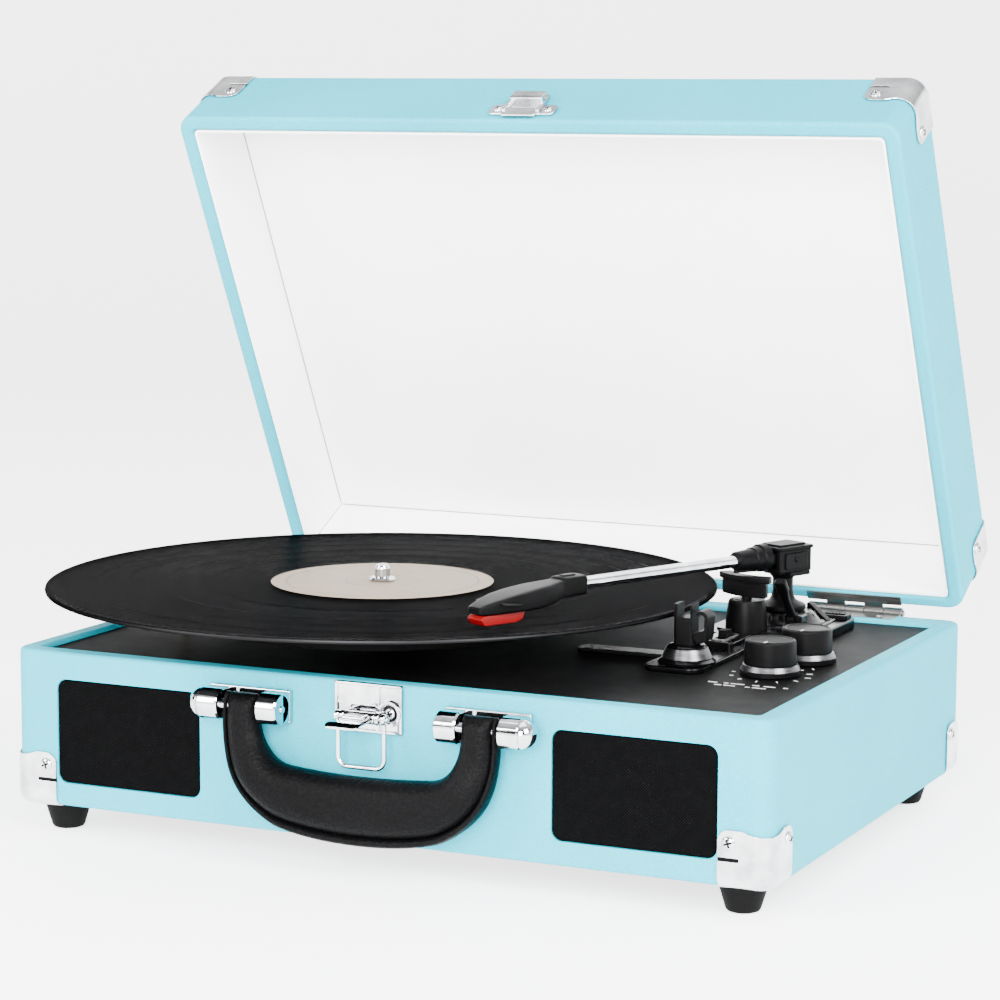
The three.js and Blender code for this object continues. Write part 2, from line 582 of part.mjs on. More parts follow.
function buildControls() {
  for (const [name, place] of Object.entries(KNOBS)) {
    const z = DECK_TOP_Z;
    const profile = [
      [0, z - 8.4], [3, z - 8.4], [3, z + 0.6], [KNOB_SKIRT_R, z + 0.6], [KNOB_SKIRT_R, z + 3],
      [KNOB_R + 0.2, z + 4.8], [KNOB_R, z + 5], [KNOB_R - 0.3, KNOB_TOP_Z - 0.8],
      [KNOB_R - 1, KNOB_TOP_Z], [0, KNOB_TOP_Z],
    ];
    piece(name, turned(profile, ...place, 20), BLACK_PLASTIC);
  }
  const [sx, sy] = SPEED_SWITCH;
  const z = DECK_TOP_Z + 1.3;
  piece('speed_selector', box([sx - 2.2, sy - 3, z], [sx + 2.2, sy + 3, z + 8.2]), BLACK_PLASTIC);
  const [px, py] = STOP_SWITCH;
  piece('auto_stop_switch', box([px - 2.4, py - 1.8, z], [px + 2.4, py + 1.8, z + 6.4]), BLACK_PLASTIC);
}

// ---------------------------------------------------------------- handle and latch

function buildHandle() {
  const [py, pz] = HANDLE_PIVOT;
  for (const [side, sign] of SIDES) {
    const x = sign * HANDLE_X;
    const back = -CASE_D / 2 - GAP;
    let bracket = box([x - 19, back - 2.6, pz - 6.8], [x + 19, back, pz + 6.8]);
    for (const dx of [-14, 14]) {
      bracket = bracket.add(box([x + dx - 4.8, py, pz - 6.5], [x + dx + 4.8, back - 1, pz + 6.5]));
      bracket = bracket.add(rod('x', [x + dx - 4.8, py, pz], 9.6, 6.5, 6.5, 16));
    }
    bracket = bracket.add(rod('x', [x - 16, py, pz], 32, 2.2, 2.2, 12));
    const nose = new THREE.SphereGeometry(6.5, 14, 8);
    nose.scale(0.9, 1, 1);
    nose.translate(x + sign * 18.6, py, pz);
    bracket = bracket.add(solid(nose));
    piece(`handle_bracket_${side}`, bracket, CHROME);
  }
  const half = HANDLE_X + HANDLE_LEG_W / 2;
  const inner = HANDLE_X - HANDLE_LEG_W / 2;
  const eye = 6;
  const outline = new THREE.Shape();
  outline.moveTo(-half, eye * 0.4);
  outline.bezierCurveTo(-half - 1, -22, -half + 4, -38, -38, -48);
  outline.bezierCurveTo(-20, -HANDLE_DROP, 20, -HANDLE_DROP, 38, -48);
  outline.bezierCurveTo(half - 4, -38, half + 1, -22, half, eye * 0.4);
  outline.quadraticCurveTo(HANDLE_X, eye * 1.6, inner, eye * 0.4);
  const windowLow = HANDLE_GRIP_H + 1.6 - HANDLE_DROP;
  outline.bezierCurveTo(inner, -12, 42, windowLow + 3, 32, windowLow + 2);
  outline.quadraticCurveTo(0, windowLow - 1, -32, windowLow + 2);
  outline.bezierCurveTo(-42, windowLow + 3, -inner, -12, -inner, eye * 0.4);
  outline.quadraticCurveTo(-HANDLE_X, eye * 1.6, -half, eye * 0.4);
  let grip = raiseInDepth(outline, -HANDLE_T / 2, HANDLE_T / 2, 7);
  // The legs thin down to the eyes that turn on the bracket pins.
  for (const low of [eye - 0.3, 0.3 - eye - 20]) {
    grip = grip.subtract(box([-90, low, -22], [90, low + 20, 15]));
  }
  // Above the pins the eyes are round, so that they clear the bracket plates as the handle swings.
  const eyes = rod('x', [-90, 0, 0], 180, eye, eye, 20);
  grip = grip.intersect(eyes.add(box([-90, -22, -90], [90, 22, 0])));
  grip = grip.rotate([-2.2, 0, 0]).translate([0, py, pz]);
  grip = grip.subtract(rod('x', [-90, py, pz], 180, 2.5, 2.5, 12));
  piece('handle_grip', grip, HANDLE_BLACK);
}

function buildLatch() {
  const [py, pz] = LATCH_PIVOT;
  const back = -CASE_D / 2 - GAP;
  let plate = box([-15.5, back - 1.2, 57], [15.5, back, RIM_Z - 0.4]);
  plate = plate.add(box([-15.5, back - 2.4, 57], [-13.7, back, RIM_Z - 0.4]));
  plate = plate.add(box([13.7, back - 2.4, 57], [15.5, back, RIM_Z - 0.4]));
  for (const sign of [-1, 1]) {
    const low = sign * 8 - 0.8;
    plate = plate.add(box([low, py, pz - 2.6], [low + 1.6, back - 1, pz + 2.6]));
    plate = plate.add(rod('x', [low, py, pz], 1.6, 2.6));
  }
  plate = plate.add(rod('x', [-12.4, py, pz], 24.8, 1.1, 1.1, 12));
  piece('latch_plate', plate, CHROME);

  let lever = rod('x', [-6.8, py, pz], 13.6, 2.4).add(box([-6.8, py - 4, pz - 0.7], [6.8, py, pz + 0.7]));
  lever = lever.add(box([-8.2, py - 15.4, pz - 0.7], [8.2, py - 3.6, pz + 0.7]));
  lever = lever.subtract(rod('x', [-20, py, pz], 40, 1.3, 1.3, 12));
  piece('latch_lever', lever, CHROME);

  const legX = 10.6;
  const low = pz - 18.4;
  const path = new THREE.CurvePath();
  const r = 3;
  const at = (x, z) => new THREE.Vector3(x, py, z);
  path.add(new THREE.LineCurve3(at(-legX, pz - 1.6), at(-legX, low + r)));
  path.add(new THREE.QuadraticBezierCurve3(at(-legX, low + r), at(-legX, low), at(-legX + r, low)));
  path.add(new THREE.LineCurve3(at(-legX + r, low), at(legX - r, low)));
  path.add(new THREE.QuadraticBezierCurve3(at(legX - r, low), at(legX, low), at(legX, low + r)));
  path.add(new THREE.LineCurve3(at(legX, low + r), at(legX, pz - 1.6)));
  const points = path.curves.flatMap((c, i) => c.getPoints(i % 2 ? 5 : 3).slice(i ? 1 : 0));
  let wire = alongCurve(new THREE.CatmullRomCurve3(points, false, 'centripetal'), WIRE_R, 24);
  for (const sign of [-1, 1]) {
    const x = sign * legX;
    wire = wire.add(rod('x', [x - 0.9, py, pz], 1.8, 2.4, 2.4, 12));
  }
  wire = wire.subtract(rod('x', [-20, py, pz], 40, 1.35, 1.35, 12));
  piece('latch_wire', wire, CHROME);
}

// ---------------------------------------------------------------- lid and hinges

// The lid is drawn closed, from the hinge line: y runs from -LID_FRONT at the latch side to -LID_BACK.
const LID_BACK = HINGE_Y - CASE_D / 2;
const LID_FRONT = LID_BACK + CASE_D;

function lidOutline(inset, rearInset, r) {
  const x = CASE_W / 2 - inset;
  return roundedRect(-x, -LID_FRONT + inset, x, -LID_BACK - rearInset, r);
}

function buildLid() {
  let shell = raise(lidOutline(0, 0, CASE_CORNER_R), GAP, LID_H);
  shell = shell.subtract(raise(lidOutline(LID_WALL, LID_REAR_WALL, 2), -1, LID_H - LID_PANEL));
  for (const [, sign] of SIDES) {
    const x = sign * HINGE_X;
    const half = HINGE_L / 2 + GAP;
    shell = shell.subtract(box([x - half, -LID_BACK - 5.2, -1], [x + half, -LID_BACK + 1, 1.4]));
  }
  piece('lid_case', shell, LEATHERETTE, lid);
  const linerTop = LID_H - LID_PANEL - GAP;
  const skin = (inset) => lidOutline(LID_WALL + inset, LID_REAR_WALL + inset, 2);
  let liner = raise(skin(GAP), 2, linerTop);
  liner = liner.subtract(raise(skin(GAP + LINER_T), 0, linerTop - LINER_T));
  piece('lid_liner', liner, LINING, lid);
  for (const [where, sx, sy] of CORNERS) {
    const relief = { x: sx * (CASE_W / 2 - CORNER_LEG), y: sy * (CASE_D / 2 - CORNER_LEG), r: 15 };
    const cap = cornerCap(sx, sy, LID_H, -1, relief).translate([0, -HINGE_Y, 0]);
    piece(`lid_corner_${where}`, cap, CHROME, lid);
  }
  const face = -LID_FRONT - GAP;
  let hook = box([-16, face - 1, 4], [16, face, 12]);
  hook = hook.add(box([-8, face - 1, 1.5], [8, face, 21]));
  hook = hook.add(box([-8, face - 3.6, 13], [8, face, 15]));
  hook = hook.add(box([-8, face - 3.6, 12], [8, face - 2.4, 19]));
  piece('lid_catch', hook, CHROME, lid);
}

// Knuckles along the hinge line, alternating between the two leaves.
function knuckle(x, length, bore) {
  const body = rod('x', [x, 0, 0], length, 2.6, 2.6, 12);
  return bore ? body.subtract(rod('x', [x - 1, 0, 0], length + 2, 1.5, 1.5, 12)) : body;
}

function buildHinges() {
  const fifth = HINGE_L / 5;
  for (const [side, sign] of SIDES) {
    const left = sign * HINGE_X - HINGE_L / 2;
    let leaf = box([left, -LID_BACK - 12, -0.9], [left + HINGE_L, -LID_BACK, -0.15]);
    let upper = box([left, -LID_BACK - 4.6, 0.15], [left + HINGE_L, -LID_BACK, 0.9]);
    for (let i = 0; i < 5; i += 1) {
      const x = left + i * fifth + 0.2;
      const length = fifth - 0.4;
      if (i % 2 === 0) {
        leaf = leaf.add(box([x, -LID_BACK - 1, -0.9], [x + length, -1.6, -0.15])).add(knuckle(x, length, false));
      } else {
        upper = upper.add(box([x, -LID_BACK - 1, 0.15], [x + length, -1.6, 0.9])).add(knuckle(x, length, true));
      }
    }
    leaf = leaf.add(rod('x', [left + 1, 0, 0], HINGE_L - 2, 1.2, 1.2, 12));
    piece(`hinge_base_leaf_${side}`, leaf.translate([0, HINGE_Y, RIM_Z]), NICKEL);
    piece(`hinge_lid_leaf_${side}`, upper, NICKEL, lid);
  }
}

buildBaseCase();
buildDeck();
buildFeet();
buildBaseCorners();
buildSpeakers();
buildElectronics();
buildPlatter();
buildDrive();
buildArmBase();
buildArmRest();
buildArmYaw();
buildArmLift();
buildCueing();
buildControls();
buildHandle();
buildLatch();
buildLid();
buildHinges();

export default player;
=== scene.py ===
# Looks of a suitcase record player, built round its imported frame.
# Pieces are drawn in millimetres about the case's own centre, then placed in the frame in metres.
import math

import bmesh
import bpy
import numpy
from mathutils import Matrix, Vector


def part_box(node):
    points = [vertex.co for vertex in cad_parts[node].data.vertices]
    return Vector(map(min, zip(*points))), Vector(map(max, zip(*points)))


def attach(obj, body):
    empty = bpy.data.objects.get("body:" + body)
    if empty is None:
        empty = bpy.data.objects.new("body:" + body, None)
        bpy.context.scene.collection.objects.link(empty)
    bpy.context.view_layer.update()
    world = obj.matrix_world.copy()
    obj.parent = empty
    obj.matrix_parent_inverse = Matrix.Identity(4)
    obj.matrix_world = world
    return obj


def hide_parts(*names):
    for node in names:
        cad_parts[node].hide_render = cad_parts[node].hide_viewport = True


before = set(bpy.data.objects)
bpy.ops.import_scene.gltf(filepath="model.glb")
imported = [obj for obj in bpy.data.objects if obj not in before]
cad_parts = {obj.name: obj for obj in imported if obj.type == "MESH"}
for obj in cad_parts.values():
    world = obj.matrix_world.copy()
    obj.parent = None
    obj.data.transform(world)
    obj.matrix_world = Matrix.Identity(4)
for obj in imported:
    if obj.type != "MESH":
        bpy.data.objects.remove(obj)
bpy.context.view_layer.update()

# ---------------------------------------------------------------- places

MM = 0.001
CASE_BOTTOM_Z = 10.0
FOOT_H = 13.0
RIM_Z = 78.0
DECK_Z = 75.8
HINGE_Y = 129.4
LID_ANGLE = math.radians(-63)
RECORD_TOP_Z = 99.2
ARM_PIVOT = (108.5, 67.0)
ARM_AXIS_Z = 111.7
ARM_AZIMUTH = math.radians(-113)
HANDLE_PIN = (-134.5, 64.5)
LATCH_PIN = (-133.0, 64.4)
SPINDLE = (-54.0, -10.5)
VOLUME_KNOB = (138, -28)
MODE_KNOB = (142, 5.5)
LEVER_PIVOT = (117.5, 56, 84.8)
HALF_W, HALF_D = 175, 125
CORNER_R = 8.2
SPEAKER_X, SPEAKER_Z = 117, 43
HINGE_X, HINGE_LENGTH = 122, 46
HANDLE_X = 55

case_low, case_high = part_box("base_case")
case_middle = (case_low + case_high) / 2
case_origin = (case_middle.x, case_middle.y, case_low.z - CASE_BOTTOM_Z * MM)
CASE = Matrix.Translation(case_origin) @ Matrix.Scale(MM, 4)
LID = CASE @ Matrix.Translation((0, HINGE_Y, RIM_Z)) @ Matrix.Rotation(LID_ANGLE, 4, "X")
ARM = CASE @ Matrix.Translation((*ARM_PIVOT, ARM_AXIS_Z)) @ Matrix.Rotation(ARM_AZIMUTH, 4, "Z")
UPRIGHT = Matrix.Rotation(math.radians(90), 4, "X")
AT_SPINDLE = Matrix.Translation((*SPINDLE, 0))


def on_circle(middle, radius, angle):
    return (middle[0] + radius * math.cos(angle), middle[1] + radius * math.sin(angle))


# The upright stem of the lift bar stands just beside the tonearm's line, 27 mm out from its pivot.
STEM_AZIMUTH = ARM_AZIMUTH + 0.12
STEM_REACH = 27
STEM = on_circle(ARM_PIVOT, STEM_REACH, STEM_AZIMUTH)


# ---------------------------------------------------------------- camera and light

CAMERA_TURN, CAMERA_RISE, CAMERA_ROLL = 25.323, 7.693, 0.232
CAMERA_AIM = Vector((0.0134, -0.0033, 0.1408))
CAMERA_DISTANCE = 1.35088
LENS_MM = 109.66


def put_in_scene(name, data):
    made = bpy.data.objects.new(name, data)
    bpy.context.scene.collection.objects.link(made)
    return made


def set_camera():
    azimuth, elevation, roll = (math.radians(a) for a in (CAMERA_TURN, CAMERA_RISE, CAMERA_ROLL))
    level = math.cos(elevation)
    back = Vector((math.sin(azimuth) * level, -math.cos(azimuth) * level, math.sin(elevation)))
    right = Vector((math.cos(azimuth), math.sin(azimuth), 0))
    right = right * math.cos(roll) + back.cross(right) * math.sin(roll)
    place = Matrix((right, back.cross(right), back)).transposed().to_4x4()
    place.translation = CAMERA_AIM + back * CAMERA_DISTANCE
    lens = bpy.data.cameras.new("camera")
    lens.lens = LENS_MM
    camera = put_in_scene("camera", lens)
    camera.matrix_world = place
    bpy.context.scene.camera = camera


def soft_box(name, place, size, watts):
    lamp = bpy.data.lights.new(name, "AREA")
    lamp.size = size
    lamp.energy = watts
    holder = put_in_scene(name, lamp)
    aim = Vector((0, 0, 0.12)) - Vector(place)
    holder.rotation_euler = aim.to_track_quat("-Z", "Y").to_euler()
    holder.location = place


def node(tree, kind, inputs=None, **settings):
    made = tree.nodes.new("ShaderNode" + kind)
    for key, value in settings.items():
        setattr(made, key, value)
    for key, value in (inputs or {}).items():
        if isinstance(value, bpy.types.NodeSocket):
            tree.links.new(value, made.inputs[key])
        else:
            made.inputs[key].default_value = value
    return made


def grey(value):
    return (value, value, value)


def ramp(tree, factor, stops):
    made = node(tree, "ValToRGB", {"Fac": factor})
    while len(made.color_ramp.elements) < len(stops):
        made.color_ramp.elements.new(0.5)
    for element, (place, colour) in zip(made.color_ramp.elements, stops):
        element.position = place
        element.color = (*colour, 1)
    return made.outputs["Color"]


def light_studio():
    world = bpy.data.worlds.new("studio")
    bpy.context.scene.world = world
    world.use_nodes = True
    tree = world.node_tree
    height = node(tree, "SeparateXYZ", {"Vector": node(tree, "TexCoord").outputs["Generated"]})
    pale_side = ramp(tree, height.outputs["Z"], [
        (0.0, grey(1)), (0.3, grey(1)), (0.5, grey(0.2)), (0.9, grey(0.4))])
    dark_side = ramp(tree, height.outputs["Z"], [
        (0.0, grey(0.35)), (0.1, grey(0.3)), (0.16, grey(0.004)), (0.45, grey(0.01)), (0.9, grey(0.25))])
    back = between(tree, height.outputs["Y"], 0, 1, -0.2, 0.25)
    sky = node(tree, "Mix", {0: back, 6: dark_side, 7: pale_side}, data_type="RGBA").outputs[2]
    background = tree.nodes["Background"]
    tree.links.new(sky, background.inputs["Color"])
    background.inputs["Strength"].default_value = 5.0
    soft_box("key", (1.7, -0.9, 1.2), 1.0, 140)
    soft_box("fill", (-1.3, -1.6, 1.0), 1.0, 80)
    soft_box("front", (0.5, -2.0, 0.75), 1.0, 165)
    soft_box("top", (0.1, -0.1, 1.9), 1.4, 30)


# ---------------------------------------------------------------- finishes

def new_finish(name, **sockets):
    made = bpy.data.materials.new(name)
    made.use_nodes = True
    tree = made.node_tree
    shader = tree.nodes["Principled BSDF"]
    for socket, value in sockets.items():
        shader.inputs[socket.replace("_", " ")].default_value = value
    where = node(tree, "TexCoord").outputs["Object"]
    return made, tree, shader, where


def noise(tree, where, scale, detail=4, roughness=0.55, stretch=None):
    if stretch:
        where = node(tree, "Mapping", {"Vector": where, "Scale": stretch}).outputs["Vector"]
    made = node(tree, "TexNoise", {"Vector": where, "Scale": scale, "Detail": detail,
                                   "Roughness": roughness})
    return made.outputs["Fac"]


def cells(tree, where, scale, randomness=1.0):
    made = node(tree, "TexVoronoi", {"Vector": where, "Scale": scale, "Randomness": randomness})
    return made.outputs["Distance"]


def between(tree, value, low, high, start=0.0, end=1.0):
    made = node(tree, "MapRange", {"Value": value, "From Min": start, "From Max": end,
                                   "To Min": low, "To Max": high})
    return made.outputs["Result"]


def calc(tree, operation, first, second=0.0, third=0.0):
    made = node(tree, "Math", operation=operation)
    for socket, value in zip(made.inputs, (first, second, third)):
        if isinstance(value, bpy.types.NodeSocket):
            tree.links.new(value, socket)
        else:
            socket.default_value = value
    return made.outputs["Value"]


def emboss(tree, shader, height, strength, depth):
    bump = node(tree, "Bump", {"Height": height, "Strength": strength, "Distance": depth})
    tree.links.new(bump.outputs["Normal"], shader.inputs["Normal"])


def coat(tree, shader, colour, rough):
    tree.links.new(colour, shader.inputs["Base Color"])
    tree.links.new(rough, shader.inputs["Roughness"])


def leather(name, dark, light, grain, depth, rough, gloss):
    """Grained covering: pebbles of about 1/grain metre with finer creases over them."""
    made, tree, shader, where = new_finish(name, Specular_IOR_Level=gloss)
    pebble = cells(tree, where, grain)
    crease = noise(tree, where, grain * 0.35, 6, 0.62)
    height = calc(tree, "MULTIPLY_ADD", crease, 1.1, pebble)
    emboss(tree, shader, height, 0.55, depth)
    cloud = calc(tree, "MULTIPLY_ADD", noise(tree, where, 14, 3), 0.6, calc(tree, "MULTIPLY", pebble, 0.5))
    coat(tree, shader, ramp(tree, cloud, [(0.25, dark), (0.8, light)]),
         between(tree, noise(tree, where, 60), rough - 0.06, rough + 0.08))
    return made


def moulded(name, dark, light, rough, grain=1800, depth=0.00004, **sockets):
    """Moulded plastic, rubber or paper: a fine even grain with a slight cloud in its colour and shine."""
    made, tree, shader, where = new_finish(name, **sockets)
    coat(tree, shader, ramp(tree, noise(tree, where, 40, 5), [(0.3, dark), (0.7, light)]),
         between(tree, noise(tree, where, 90, 3), rough - 0.05, rough + 0.07))
    emboss(tree, shader, noise(tree, where, grain, 2), 0.3, depth)
    return made


def metal(name, dark, light, rough, stretch, depth, scale):
    """Plated or spun metal; stretch draws its polishing lines out along the axes with small values."""
    made, tree, shader, where = new_finish(name, Metallic=1.0)
    lines = noise(tree, where, scale, 4, 0.6, stretch)
    coat(tree, shader, ramp(tree, lines, [(0.3, dark), (0.7, light)]),
         between(tree, lines, rough * 0.7, rough * 1.4))
    emboss(tree, shader, lines, 0.2, depth)
    return made


def woven_cloth():
    """Speaker cloth: a square mesh of round threads with small dark holes between them."""
    made, tree, shader, where = new_finish("speaker_weave", Specular_IOR_Level=0.02)
    turned_mesh = node(tree, "Mapping", {"Vector": where,
                                         "Rotation": (0, math.radians(45), 0)}).outputs["Vector"]
    flat = node(tree, "Mapping", {"Vector": turned_mesh, "Scale": (1, 0, 1)}).outputs["Vector"]
    threads = cells(tree, flat, 1150, 0.0)
    uneven = calc(tree, "MULTIPLY_ADD", noise(tree, where, 300, 2), 0.25, threads)
    colour = ramp(tree, uneven, [(0.3, (0.0001, 0.0001, 0.0001)), (0.62, (0.001, 0.001, 0.0012)),
                                 (0.9, (0.004, 0.004, 0.0045))])
    coat(tree, shader, colour, between(tree, threads, 0.9, 0.6))
    emboss(tree, shader, threads, 0.8, 0.0005)
    return made


def distance_from_spindle(tree, where):
    flat = node(tree, "Mapping", {
        "Vector": where,
        "Location": (-(case_middle.x + SPINDLE[0] * MM), -(case_middle.y + SPINDLE[1] * MM), 0),
        "Scale": (1, 1, 0)}).outputs["Vector"]
    return node(tree, "VectorMath", {0: flat}, operation="LENGTH").outputs["Value"]


def ring_noise(tree, radius, scale, detail):
    made = node(tree, "TexNoise", {"W": radius, "Scale": scale, "Detail": detail}, noise_dimensions="1D")
    return made.outputs["Fac"]


def grooved_vinyl():
    """Glossy black disc: fine grooves, with bands of slightly different shine as the music changes."""
    made, tree, shader, where = new_finish("grooved_vinyl", Metallic=1.0,
                                           Specular_Tint=(0.035, 0.035, 0.037, 1))
    radius = distance_from_spindle(tree, where)
    bands = ring_noise(tree, radius, 160, 5)
    shades = [(0.35, (0.007, 0.007, 0.0073)), (0.55, (0.012, 0.012, 0.0125)), (0.75, (0.026, 0.026, 0.027))]
    coat(tree, shader, ramp(tree, bands, shades), between(tree, bands, 0.34, 0.46))
    emboss(tree, shader, ring_noise(tree, radius, 900, 3), 0.25, 0.00004)
    return made


def label_paper():
    """Beige paper label with one dark printed ring near its edge, and a pressed ring round the hole whose
    groove carries a dark ring of painted shade.
    """
    made, tree, shader, where = new_finish("label_paper", Roughness=0.62)
    radius = distance_from_spindle(tree, where)
    ink = calc(tree, "COMPARE", radius, 0.0432, 0.00032)
    # This second dark ring lies in the pressed groove: painted shade.
    inner = calc(tree, "COMPARE", radius, 0.0165, 0.0002)
    print_and_groove_shade = calc(tree, "MAXIMUM", ink, inner)
    paper = ramp(tree, noise(tree, where, 90, 6),
                 [(0.25, (0.115, 0.083, 0.05)), (0.75, (0.16, 0.118, 0.072))])
    mixed = node(tree, "Mix", {0: print_and_groove_shade, 6: paper, 7: (0.02, 0.014, 0.008, 1)}, data_type="RGBA")
    tree.links.new(mixed.outputs[2], shader.inputs["Base Color"])
    emboss(tree, shader, noise(tree, where, 1500, 3), 0.3, 0.00005)
    return made


def clear_red():
    made, tree, shader, where = new_finish("clear_red", Transmission_Weight=0.1, Specular_IOR_Level=0.15)
    shades = [(0.2, (0.1, 0.0004, 0.001)), (0.8, (0.13, 0.0006, 0.0014))]
    coat(tree, shader, ramp(tree, noise(tree, where, 200), shades),
         between(tree, noise(tree, where, 60), 0.3, 0.4))
    return made


def pale_floor():
    made, tree, shader, where = new_finish("pale_floor", Roughness=0.6, Emission_Color=(1, 1, 1, 1),
                                           Emission_Strength=2.4)
    tree.links.new(ramp(tree, noise(tree, where, 3), [(0.2, grey(0.83)), (0.8, grey(0.86))]),
                   shader.inputs["Base Color"])
    return made


# The base colours are deeper than those of the real materials, to suit the bright studio.
LEATHERETTE = leather("turquoise_leatherette", (0.001, 0.25, 0.325), (0.002, 0.32, 0.415),
                      1300, 0.00012, 0.5, 0.06)
HANDLE_LEATHER = leather("handle_leather", (0.0004, 0.0004, 0.0005), (0.0022, 0.0022, 0.0024),
                         820, 0.00035, 0.42, 0.03)
DECK_VINYL = leather("deck_covering", (0.001, 0.001, 0.0011), (0.0028, 0.0028, 0.003),
                     1500, 0.00008, 0.55, 0.03)
LINING = moulded("lid_lining", grey(0.93), grey(0.97), 0.8, 900, 0.00004, Specular_IOR_Level=0.1)
# Grey for painted shade along the lid lining's inner corners.
LINING_CORNER_SHADE = moulded("lining_corner_shade", (0.16, 0.16, 0.165), (0.22, 0.22, 0.225), 0.8)
SATIN_BLACK = moulded("satin_black_plastic", (0.0006, 0.0006, 0.0007), (0.0018, 0.0018, 0.002), 0.38,
                      Specular_IOR_Level=0.04)
GLOSS_BLACK = moulded("gloss_black_plastic", (0.0005, 0.0005, 0.0006), (0.0012, 0.0012, 0.0014), 0.2, 900,
                      0.00002, Specular_IOR_Level=0.1)
RUBBER = moulded("foot_rubber", grey(0.001), grey(0.0025), 0.68, 1200, 0.00008, Specular_IOR_Level=0.05)
FELT = moulded("felt_mat", (0.003, 0.003, 0.0035), (0.008, 0.008, 0.009), 0.92, 2400, 0.0003,
               Specular_IOR_Level=0.1)
WHITE_PRINT = moulded("white_print", grey(0.4), grey(0.45), 0.5)
RED_PLASTIC = moulded("red_socket", (0.4, 0.01, 0.01), (0.5, 0.02, 0.02), 0.35)
CIRCUIT = moulded("circuit_green", (0.01, 0.06, 0.025), (0.03, 0.13, 0.05), 0.4, 500, 0.0002)
CHROME = metal("polished_chrome", (0.36, 0.37, 0.39), (0.72, 0.73, 0.75), 0.07, None, 0.0002, 90)
NICKEL = metal("brushed_nickel", (0.1, 0.098, 0.094), (0.22, 0.216, 0.208), 0.3, (0.05, 1, 1), 0.00003, 700)
SPUN_ALUMINIUM = metal("spun_aluminium", (0.05, 0.05, 0.052), (0.12, 0.12, 0.124), 0.3, (0.3, 0.3, 4),
                       0.00004, 500)
STEEL = metal("plain_steel", (0.3, 0.3, 0.31), (0.5, 0.5, 0.51), 0.35, (1, 1, 0.05), 0.00003, 500)
BRASS = metal("turned_brass", (0.55, 0.34, 0.11), (0.75, 0.52, 0.2), 0.25, (1, 1, 0.1), 0.00003, 500)
WEAVE = woven_cloth()
VINYL = grooved_vinyl()
LABEL = label_paper()
STYLUS_RED = clear_red()


# ---------------------------------------------------------------- shaping

def bevel(bm, edges, width, segments):
    bmesh.ops.bevel(bm, geom=edges, offset=width, offset_type="OFFSET", segments=segments, profile=0.5,
                    affect="EDGES", clamp_overlap=False, material=-1)


def ease(bm, width, segments, sharper_than):
    """Rounds every edge that turns by more than an angle."""
    limit = math.radians(sharper_than)
    edges = [e for e in bm.edges if len(e.link_faces) == 2 and e.calc_face_angle() > limit]
    bevel(bm, edges, width, segments)
    return bm


def ease_where(bm, test, width, segments):
    """Rounds the sharp edges whose two ends both pass the test."""
    edges = [e for e in bm.edges if len(e.link_faces) == 2 and e.calc_face_angle() > math.radians(50)
             and test(e.verts[0].co) and test(e.verts[1].co)]
    bevel(bm, edges, width, segments)


def block(low, high, soft=0.4, segments=3):
    bm = bmesh.new()
    bmesh.ops.create_cube(bm, size=1)
    low, high = Vector(low), Vector(high)
    bmesh.ops.scale(bm, vec=high - low, verts=bm.verts)
    bmesh.ops.translate(bm, vec=(low + high) / 2, verts=bm.verts)
    if soft:
        bevel(bm, bm.edges[:], soft, segments)
    return bm


def slab(low, high, radius, soft=0, segments=8):
    """A block whose upright edges are rounded, then its flat faces' edges eased."""
    bm = block(low, high, 0)
    upright = [e for e in bm.edges if abs(e.verts[0].co.z - e.verts[1].co.z) > 1e-4]
    bevel(bm, upright, radius, segments)
    if soft:
        flat = [e for e in bm.edges if abs(e.verts[0].co.z - e.verts[1].co.z) < 1e-4]
        bevel(bm, flat, soft, 3)
    return bm


def turned(profile, steps=96, place=None):
    """A profile of (radius, height) points turned about the upright axis."""
    bm = bmesh.new()
    points = [bm.verts.new((r, 0, z)) for r, z in profile]
    lines = [bm.edges.new(pair) for pair in zip(points, points[1:])]
    bmesh.ops.spin(bm, geom=points + lines, cent=(0, 0, 0), axis=(0, 0, 1), angle=math.tau, steps=steps,
                   use_merge=True)
    bmesh.ops.remove_doubles(bm, verts=bm.verts, dist=1e-4)
    if place:
        bmesh.ops.transform(bm, matrix=place, verts=bm.verts)
    return bm


def rod(start, end, radius, far_radius=None, steps=32, soft=0.25):
    """A round bar from one point to another, with eased ends."""
    start, end = Vector(start), Vector(end)
    far = radius if far_radius is None else far_radius
    length = (end - start).length
    profile = [(0, 0), (radius - soft, 0), (radius, soft), (far, length - soft), (far - soft, length),
               (0, length)]
    place = Matrix.Translation(start) @ (end - start).to_track_quat("Z", "Y").to_matrix().to_4x4()
    return turned(profile, steps, place)


def outline_plate(points, low, high, soft=0.3):
    """A flat outline of (x, y) points raised from low to high, its edges eased."""
    bm = bmesh.new()
    face = bm.faces.new([bm.verts.new((x, y, low)) for x, y in points])
    raised = bmesh.ops.extrude_face_region(bm, geom=[face])
    bmesh.ops.translate(bm, vec=(0, 0, high - low),
                        verts=[v for v in raised["geom"] if isinstance(v, bmesh.types.BMVert)])
    bmesh.ops.recalc_face_normals(bm, faces=bm.faces)
    return ease(bm, soft, 2, 50) if soft else bm


def loft(rings):
    """Skins a row of rings, each a list of points going the same way round, and closes its ends."""
    bm = bmesh.new()
    previous = None
    for ring in rings:
        made = bmesh.ops.create_circle(bm, cap_ends=False, radius=1, segments=len(ring))["verts"]
        for vert, point in zip(made, ring):
            vert.co = point
        edges = list({e for v in made for e in v.link_edges})
        if previous is not None:
            bmesh.ops.bridge_loops(bm, edges=previous + edges)
        previous = edges
    bmesh.ops.holes_fill(bm, edges=[e for e in bm.edges if e.is_boundary])
    return bm


